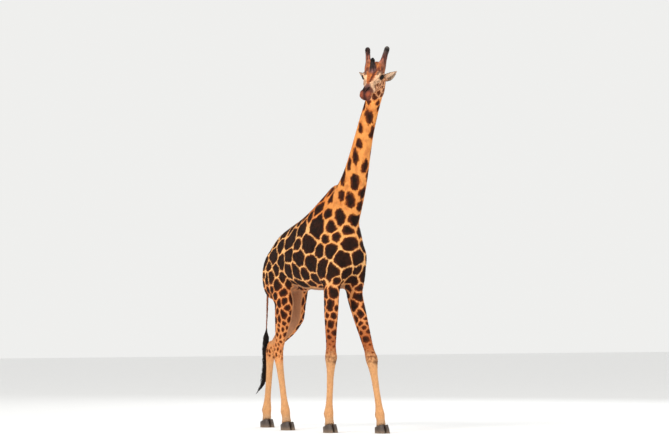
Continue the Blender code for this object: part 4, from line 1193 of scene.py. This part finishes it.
def horn_material():
    """Short hair over bone on the shaft, and worn horny skin on the knob, by the mesh's own colours."""
    made, tree, shader, place = material("horn_hide")
    ground = add(tree, "Attribute", {"attribute_name": "ground"}).outputs["Color"]
    worn = add(tree, "Attribute", {"attribute_name": "worn"}).outputs["Fac"]
    hair = grouped(tree, combs, Place=place, Turn=(0, math.radians(60), math.radians(54)), Width=0.0018)
    pits = add(tree, "TexNoise", Vector=place, Scale=120.0, Detail=6.0, Roughness=0.7)
    height = add(tree, "Mix", _0=worn, _2=hair.outputs[0], _3=pits.outputs["Fac"]).outputs[0]
    lit = add(tree, "MapRange", Value=height, _1=0.35, _2=1.0, _3=0.72, _4=1.22)
    tree.links.new(mixed(tree, 1.0, ground, lit.outputs[0], "MULTIPLY"), shader.inputs["Base Color"])
    rough = add(tree, "MapRange", Value=worn, _3=0.78, _4=0.55)
    tree.links.new(rough.outputs[0], shader.inputs["Roughness"])
    raised = add(tree, "Bump", Strength=0.6, Distance=0.0016, Height=height)
    tree.links.new(raised.outputs[0], shader.inputs["Normal"])
    shader.inputs["Specular IOR Level"].default_value = 0.25
    return made


horn_look = horn_material()


def ring_mesh(name, rings):
    """A closed tube through rings of points, with its ends shut."""
    bm = bmesh.new()
    rows = [[bm.verts.new(p) for p in ring] for ring in rings]
    around = len(rings[0])
    for a, b in zip(rows, rows[1:]):
        for k in range(around):
            bm.faces.new((a[k], a[(k + 1) % around], b[(k + 1) % around], b[k]))
    bm.faces.new(rows[0][::-1])
    bm.faces.new(rows[-1])
    bmesh.ops.recalc_face_normals(bm, faces=bm.faces)
    mesh = bpy.data.meshes.new(name)
    bm.to_mesh(mesh)
    bm.free()
    mesh.shade_smooth()
    return mesh


def tones_at(share, *stops):
    """Colours at shares of a length, between stops of a share and a colour."""
    where = [s for s, _ in stops]
    shades = np.array([linear(*c) for _, c in stops])
    return np.stack([np.interp(share, where, shades[:, k]) for k in range(3)], 1)


HORN_AROUND = 40
for name, (radii, stops) in HORNS.items():
    base, tip = (on_head(*end) for end in HORN_AXES[name])
    run = (tip - base).normalized()
    front = (AHEAD - run * AHEAD.dot(run)).normalized()
    wide = run.cross(front)
    length = (tip - base).length
    knob = radii[-1]
    spine = [(t * length, float(np.interp(t, np.linspace(0, 1, len(radii)), radii))) for t in np.linspace(0, 1, 46)]
    spine += [(length + knob * math.sin(a), knob * math.cos(a)) for a in np.linspace(0.12, 1.5, 10)]
    rings, share, worn = [], [], []
    top = spine[-1][0]
    for far, radius in spine:
        ring = []
        for k in range(HORN_AROUND):
            a = 2 * math.pi * k / HORN_AROUND
            out_way = front * math.cos(a) + wide * math.sin(a)
            # the foot of the left horn spreads towards the middle
            flare = max(0.0, -out_way.dot(LEFT)) * (name == "horn_left") * 0.020
            flare *= math.exp(-((far / length - 0.22) / 0.16) ** 2)
            p = base + run * far + out_way * (radius + flare)
            rough = noise.noise(p * 22) * 0.0022 + noise.noise(p * 70) * 0.0008
            flute = 0.0012 * math.sin(5 * a + far * 9) * (1 - ramp(np.array([far / top]), 0.7, 0.85)[0])
            ring.append(p + out_way * (rough + flute - 0.0012))
            share.append(far / top)
        rings.append(ring)
    mesh = ring_mesh(name, rings)
    share = np.array(share)
    tones = tones_at(share, *stops)
    points_here = places(mesh)
    streak = np.array([noise.noise(Vector((p[0] * 45, p[1] * 45, p[2] * 9))) for p in points_here])
    blotch = np.array([noise.noise(p * 24) for p in map(Vector, points_here)])
    tones = tones * np.clip(1 + 1.6 * streak + 0.8 * blotch, 0.30, 2.0)[:, None]
    # the outer edges of the main horns are dark, and orange runs up between them
    outward_share = (head_place(points_here)[:, 1] - np.interp(share, [0, 1], [end[1] for end in HORN_AXES[name]]))
    outward_share = ramp(outward_share * (1 if name == "horn_left" else -1), 0.012, 0.034) * (name != "horn_middle")
    darker = (outward_share * (1 - ramp(share, 0.75, 0.9)) * 0.55)[:, None]
    tones = tones * (1 - darker) + np.array(linear(58, 30, 26)) * darker
    set_values(mesh, "ground", np.clip(tones, 0, 1))
    set_values(mesh, "worn", ramp(share, 0.86, 0.94) * (0.5 if name == "horn_middle" else 1))
    mesh.materials.append(horn_look)
    piece = new_object(name + "_bone_and_hide", mesh)
    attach(piece, "root")
    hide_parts(name)
    # short locks up the shaft, and longer black ones round the knob
    rng = np.random.default_rng(len(name))
    count = 900
    t = rng.uniform(0.16, 0.90, count)
    a = rng.uniform(0, 2 * math.pi, count)
    ring = rng.random(count) < 0.30
    t = np.where(ring, rng.uniform(0.76, 0.88, count), t)
    radius = np.interp(t * top, [s[0] for s in spine], [s[1] for s in spine])
    outward = np.outer(np.cos(a), np.array(front)) + np.outer(np.sin(a), np.array(wide))
    at = np.array(base) + np.outer(t * top, np.array(run)) + outward * (radius - 0.0016)[:, None]
    length_here = np.where(ring, rng.uniform(0.014, 0.022, count), rng.uniform(0.007, 0.011, count))
    lean = np.where(ring, 0.16, 0.10)
    end = at + np.outer(length_here, np.array(run)) + outward * (length_here * lean + 0.0012)[:, None]
    tone = tones_at(t, *stops)
    tone[ring] *= 0.45
    width = length_here * 0.075
    nearest = point_uv[spots.find(base + run * 0.06)[1]]
    tufts = locks(name + "_hair", np.stack([at, end], 1), np.stack([width, width * 0], 1), outward,
                  nearest + rng.uniform(-0.006, 0.006, (count, 2)),
                  {"ground": tone, "inner": np.full(count, -1.0), "shade": rng.uniform(0.8, 1.2, count)}, tuft_look)
    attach(tufts, "root")

# ---------------------------------------------------------------- ears
# Leaf-shaped ears of thin gristle and skin, rolled to a tube at the root and open forward. They are
# cream inside with long pale hair along their dark edges.
EAR_ROWS = [(0.00, 0.044, 0.018, 0.020), (0.14, 0.0615, 0.032, 0.012), (0.30, 0.0695, 0.038, 0.008),
            (0.46, 0.0645, 0.034, 0.006), (0.62, 0.0540, 0.026, 0.005), (0.78, 0.0360, 0.015, 0.004),
            (0.91, 0.0170, 0.006, 0.0035), (1.00, 0.0035, 0.001, 0.003)]
for name, sign in (("ear_left", 1), ("ear_right", -1)):
    root, tip = on_head(0.090, sign * 0.082, -0.098), on_head(0.018, sign * 0.277, -0.014)
    run = (tip - root).normalized()
    front = AHEAD * 0.80 + LEFT * sign * 0.25 - UP * 0.15
    front = (front - run * front.dot(run)).normalized()
    wide = run.cross(front).normalized()
    rings, share, across, inside = [], [], [], []
    for t in np.linspace(0, 1, 40):
        half, deep, thick = (float(np.interp(t, [r[0] for r in EAR_ROWS], [r[i] for r in EAR_ROWS])) for i in (1, 2, 3))
        half *= 1 + 0.02 * math.sin(t * 22)
        centre = root.lerp(tip, t) + front * 0.018 * math.sin(math.pi * t)
        back, inner_side = [], []
        for s in np.linspace(-1, 1, 19):
            roll = deep * (1 - s * s) + 0.0012 * math.cos(s * 14) * math.sin(math.pi * t)
            wall = thick * 0.5 * (1.15 - s * s)
            back.append(centre + wide * half * s - front * (roll + wall))
            inner_side.append(centre + wide * half * s - front * (roll - wall))
            across.append(s)
        rings.append(back + inner_side[::-1])
        share += [t] * 38
        inside += [0] * 19 + [1] * 19
    across = np.array(([s for s in np.linspace(-1, 1, 19)] + [s for s in np.linspace(1, -1, 19)]) * 40)
    share, inside = np.array(share), np.array(inside)
    mesh = ring_mesh(name, rings)
    edge = ramp(np.abs(across), 0.72, 0.98)
    pale = tones_at(share, (0.0, (170, 112, 90)), (0.25, (232, 188, 152)), (0.7, (246, 216, 184)),
                    (1.0, (226, 170, 150)))
    outer_tone = tones_at(share, (0.0, (196, 140, 96)), (0.5, (206, 170, 134)), (1.0, (120, 84, 70)))
    tone = np.where(inside[:, None] > 0, pale, outer_tone)
    dark = np.array(linear(52, 34, 30))
    strength = edge * (0.85 - 0.25 * inside) * ramp(share, 0.02, 0.15)
    # the lower part of the hollow is brown between two pale ridges
    below = across * sign
    lower = np.exp(-((below - 0.62) / 0.26) ** 2) * ramp(share, 0.10, 0.30)
    strength = np.maximum(strength, lower * (0.55 + 0.35 * inside))
    band = inside * np.exp(-((share - 0.20) / 0.09) ** 2) * ramp(-below, -0.2, 0.3) * 0.7
    strength = np.maximum(strength, band)[:, None]
    tone = tone * (1 - strength) + dark * strength
    set_values(mesh, "ground", tone)
    set_values(mesh, "inner", np.full(len(tone), -1.0))
    mesh.materials.append(hide_look)
    piece = new_object(name + "_shell", mesh)
    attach(piece, "root")
    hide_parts(name)
    # pale hair across the opening and short dark hair along the edges
    rng = np.random.default_rng(5 + sign)
    count = 700
    t = rng.uniform(0.08, 0.97, count)
    s = np.where(rng.random(count) < 0.6, np.sign(rng.uniform(-1, 1, count)) * rng.uniform(0.86, 1.0, count),
                 rng.uniform(-0.8, 0.8, count))
    half, deep = (np.interp(t, [r[0] for r in EAR_ROWS], [r[i] for r in EAR_ROWS]) for i in (1, 2))
    at = (np.array(root) + np.outer(t, np.array(tip - root)) + np.outer(0.018 * np.sin(math.pi * t), np.array(front))
          + np.outer(half * s, np.array(wide)) - np.outer(deep * (1 - s * s) - 0.002, np.array(front)))
    long = np.where(np.abs(s) > 0.85, rng.uniform(0.012, 0.020, count), rng.uniform(0.014, 0.026, count))
    long = long * (1.15 - 0.7 * t)
    way = unit(np.array(run) + np.outer(-s * 0.55, np.array(wide)) + np.array(front) * 0.22)
    mid = at + way * (long * 0.5)[:, None] + np.array(front) * 0.0015
    end = at + way * long[:, None] + np.outer(-s * long * 0.10, np.array(wide))
    tone = np.where((np.abs(s) > 0.93)[:, None], np.array(linear(70, 48, 42)), np.array(linear(238, 212, 186)))
    nearest = point_uv[spots.find(root)[1]]
    hair = locks(name + "_hair", np.stack([at, mid, end], 1), np.outer(rng.uniform(0.0007, 0.0012, count), [1, 0.8, 0]),
                 np.tile(np.array(front), (count, 1)), nearest + rng.uniform(-0.006, 0.006, (count, 2)),
                 {"ground": tone, "inner": np.full(count, -1.0), "shade": rng.uniform(0.85, 1.15, count)}, tuft_look)
    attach(hair, "root")

# ---------------------------------------------------------------- eyes
# Large dark wet eyes with a wide flat pupil lie deep under heavy lids with long dark lashes.
eye_look, tree, shader, place = material("wet_eye")
iris = add(tree, "Attribute", {"attribute_name": "iris"}).outputs["Fac"]
threads = add(tree, "TexNoise", Vector=place, Scale=260.0, Detail=3.0)
mixing = add(tree, "Math", {"operation": "MULTIPLY_ADD"}, _0=threads.outputs["Fac"], _1=0.35, _2=iris)
edge = add(tree, "MapRange", {"interpolation_type": "SMOOTHSTEP"}, Value=mixing.outputs[0], _1=0.45, _2=0.75)
eye_colour = mixed(tree, edge.outputs[0], (*linear(5, 4, 4), 1), (*linear(30, 17, 12), 1))
tree.links.new(eye_colour, shader.inputs["Base Color"])
wet = add(tree, "MapRange", Value=threads.outputs["Fac"], _3=0.03, _4=0.07)
tree.links.new(wet.outputs[0], shader.inputs["Roughness"])
shader.inputs["Specular IOR Level"].default_value = 0.12
shader.inputs["Coat Weight"].default_value = 0.12
shader.inputs["Coat Roughness"].default_value = 0.02
lash_look = dark_hair("lash_hair", (14, 11, 11), (26, 20, 19), 0.5)
for name, sign in (("eye_left", 1), ("eye_right", -1)):
    centre = on_head(EYE[0], sign * EYE[1], EYE[2])
    bm = bmesh.new()
    bmesh.ops.create_uvsphere(bm, u_segments=48, v_segments=28, radius=1.0)
    mesh = bpy.data.meshes.new(name)
    bm.to_mesh(mesh)
    bm.free()
    ball = places(mesh)
    # the sphere's pole looks out of the lids, and the clear front bulges a little
    bulge = 1 + 0.045 * ramp(ball[:, 2], 0.72, 0.95)
    pupil = np.hypot(ball[:, 0] / 0.50, ball[:, 1] / 0.30)
    set_values(mesh, "iris", ramp(pupil, 0.85, 1.15) * (1 - ramp(np.hypot(ball[:, 0], ball[:, 1]), 0.70, 0.82)))
    mirror = np.array([1, sign, 1])
    axes = np.array([EYE_ALONG * -sign, EYE_ACROSS, EYE_OUT]) * mirror @ np.array([AHEAD, LEFT, UP])
    put(mesh, (ball * bulge[:, None] * EYE_RADIUS * 0.985) @ axes + np.array(centre))
    mesh.shade_smooth()
    mesh.materials.append(eye_look)
    piece = new_object(name + "_ball", mesh)
    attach(piece, "root")
    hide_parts(name)
    # lashes of the upper lid, and short ones below
    rng = np.random.default_rng(40 + sign)
    rows = []
    for k in range(64):
        upper = k < 46
        x = rng.uniform(-0.92, 0.92) * EYE_HALF
        arch = 1 - (x / EYE_HALF) ** 2
        y = LID_RISE * arch ** 0.8 if upper else -LID_DROP * arch
        out = math.sqrt((EYE_RADIUS + 0.003) ** 2 - x * x - y * y) - 0.001
        long = rng.uniform(0.012, 0.018) if upper else rng.uniform(0.004, 0.007)
        fan = x / EYE_HALF * 0.5
        root = np.array([x, y, out])
        mid = root + np.array([fan, 0.10 if upper else -0.5, 1.0]) * long * 0.5
        end = mid + np.array([fan, -0.25 if upper else -0.8, 0.75]) * long * 0.5
        rows.append([root, mid, end])
    paths = np.array(centre) + np.array(rows) @ axes
    lashes = locks(name + "_lashes", paths, np.outer(np.full(len(rows), 0.0005), [1, 0.8, 0]),
                   np.tile(np.array(UP), (len(rows), 1)),
                   point_uv[spots.find(centre)[1]] + rng.uniform(-0.004, 0.004, (len(rows), 2)),
                   {"shade": rng.uniform(0.8, 1.2, len(rows))}, lash_look, 1.2)
    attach(lashes, "root")

# ---------------------------------------------------------------- hooves
# Each foot stands on two horny claws with a sharp lower rim. The horn is dark, ringed with growth
# lines, and dusty and worn near the ground.
hoof_look, tree, shader, place = material("hoof_horn")
grain = add(tree, "VectorMath", {"operation": "MULTIPLY"}, _0=place, _1=(1.0, 1.0, 0.10))
fibres = add(tree, "TexNoise", Vector=grain.outputs[0], Scale=260.0, Detail=3.0, Roughness=0.6)
rings_of = add(tree, "SeparateXYZ", Vector=place)
wavy = add(tree, "TexNoise", Vector=place, Scale=9.0, Detail=2.0)
level = add(tree, "Math", {"operation": "MULTIPLY_ADD"}, _0=wavy.outputs["Fac"], _1=0.02, _2=rings_of.outputs["Z"])
growth = add(tree, "Math", {"operation": "MULTIPLY"}, _0=level.outputs[0], _1=820.0)
ripple = add(tree, "Math", {"operation": "SINE"}, _0=growth.outputs[0])
height = add(tree, "Math", {"operation": "MULTIPLY_ADD"}, _0=ripple.outputs[0], _1=0.25, _2=fibres.outputs["Fac"])
dust = add(tree, "MapRange", {"interpolation_type": "SMOOTHSTEP"}, Value=rings_of.outputs["Z"], _1=0.0, _2=0.07,
           _3=0.75, _4=0.0)
horn_tone = mixed(tree, fibres.outputs["Fac"], (*linear(38, 31, 28), 1), (*linear(86, 70, 60), 1))
dusty = add(tree, "TexNoise", Vector=place, Scale=40.0, Detail=5.0)
dust_share = add(tree, "Math", {"operation": "MULTIPLY"}, _0=dust.outputs[0], _1=dusty.outputs["Fac"])
tree.links.new(mixed(tree, dust_share.outputs[0], horn_tone, (*linear(168, 140, 112), 1)), shader.inputs["Base Color"])
rough = add(tree, "MapRange", Value=dust_share.outputs[0], _3=0.42, _4=0.85)
tree.links.new(rough.outputs[0], shader.inputs["Roughness"])
raised = add(tree, "Bump", Strength=0.6, Distance=0.0012, Height=height.outputs[0])
tree.links.new(raised.outputs[0], shader.inputs["Normal"])
for foot in ("fore_left", "fore_right", "hind_left", "hind_right"):
    for claw in ("a", "b"):
        node = f"hoof_{foot}_{claw}"
        mesh = remeshed([node], 0.0045, 0.0)
        claw_points = places(mesh)
        hold = ramp(claw_points[:, 2], 0.002, 0.012)
        claw_points = relaxed(claw_points, pairs(mesh), 0.5 * hold, 7)
        put(mesh, claw_points)
        ridge = 0.0007 * np.sin((claw_points[:, 2] + 0.10 * claw_points[:, 0]) * 2 * math.pi / 0.011)
        ridge *= ramp(claw_points[:, 2], 0.006, 0.02) * (1 - ramp(np.abs(normals(mesh)[:, 2]), 0.6, 0.9))
        put(mesh, claw_points + normals(mesh) * (ridge - 0.0003)[:, None])
        mesh.shade_smooth()
        mesh.materials.clear()
        mesh.materials.append(hoof_look)
        piece = new_object(node + "_horn", mesh)
        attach(piece, "root")
        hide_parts(node)
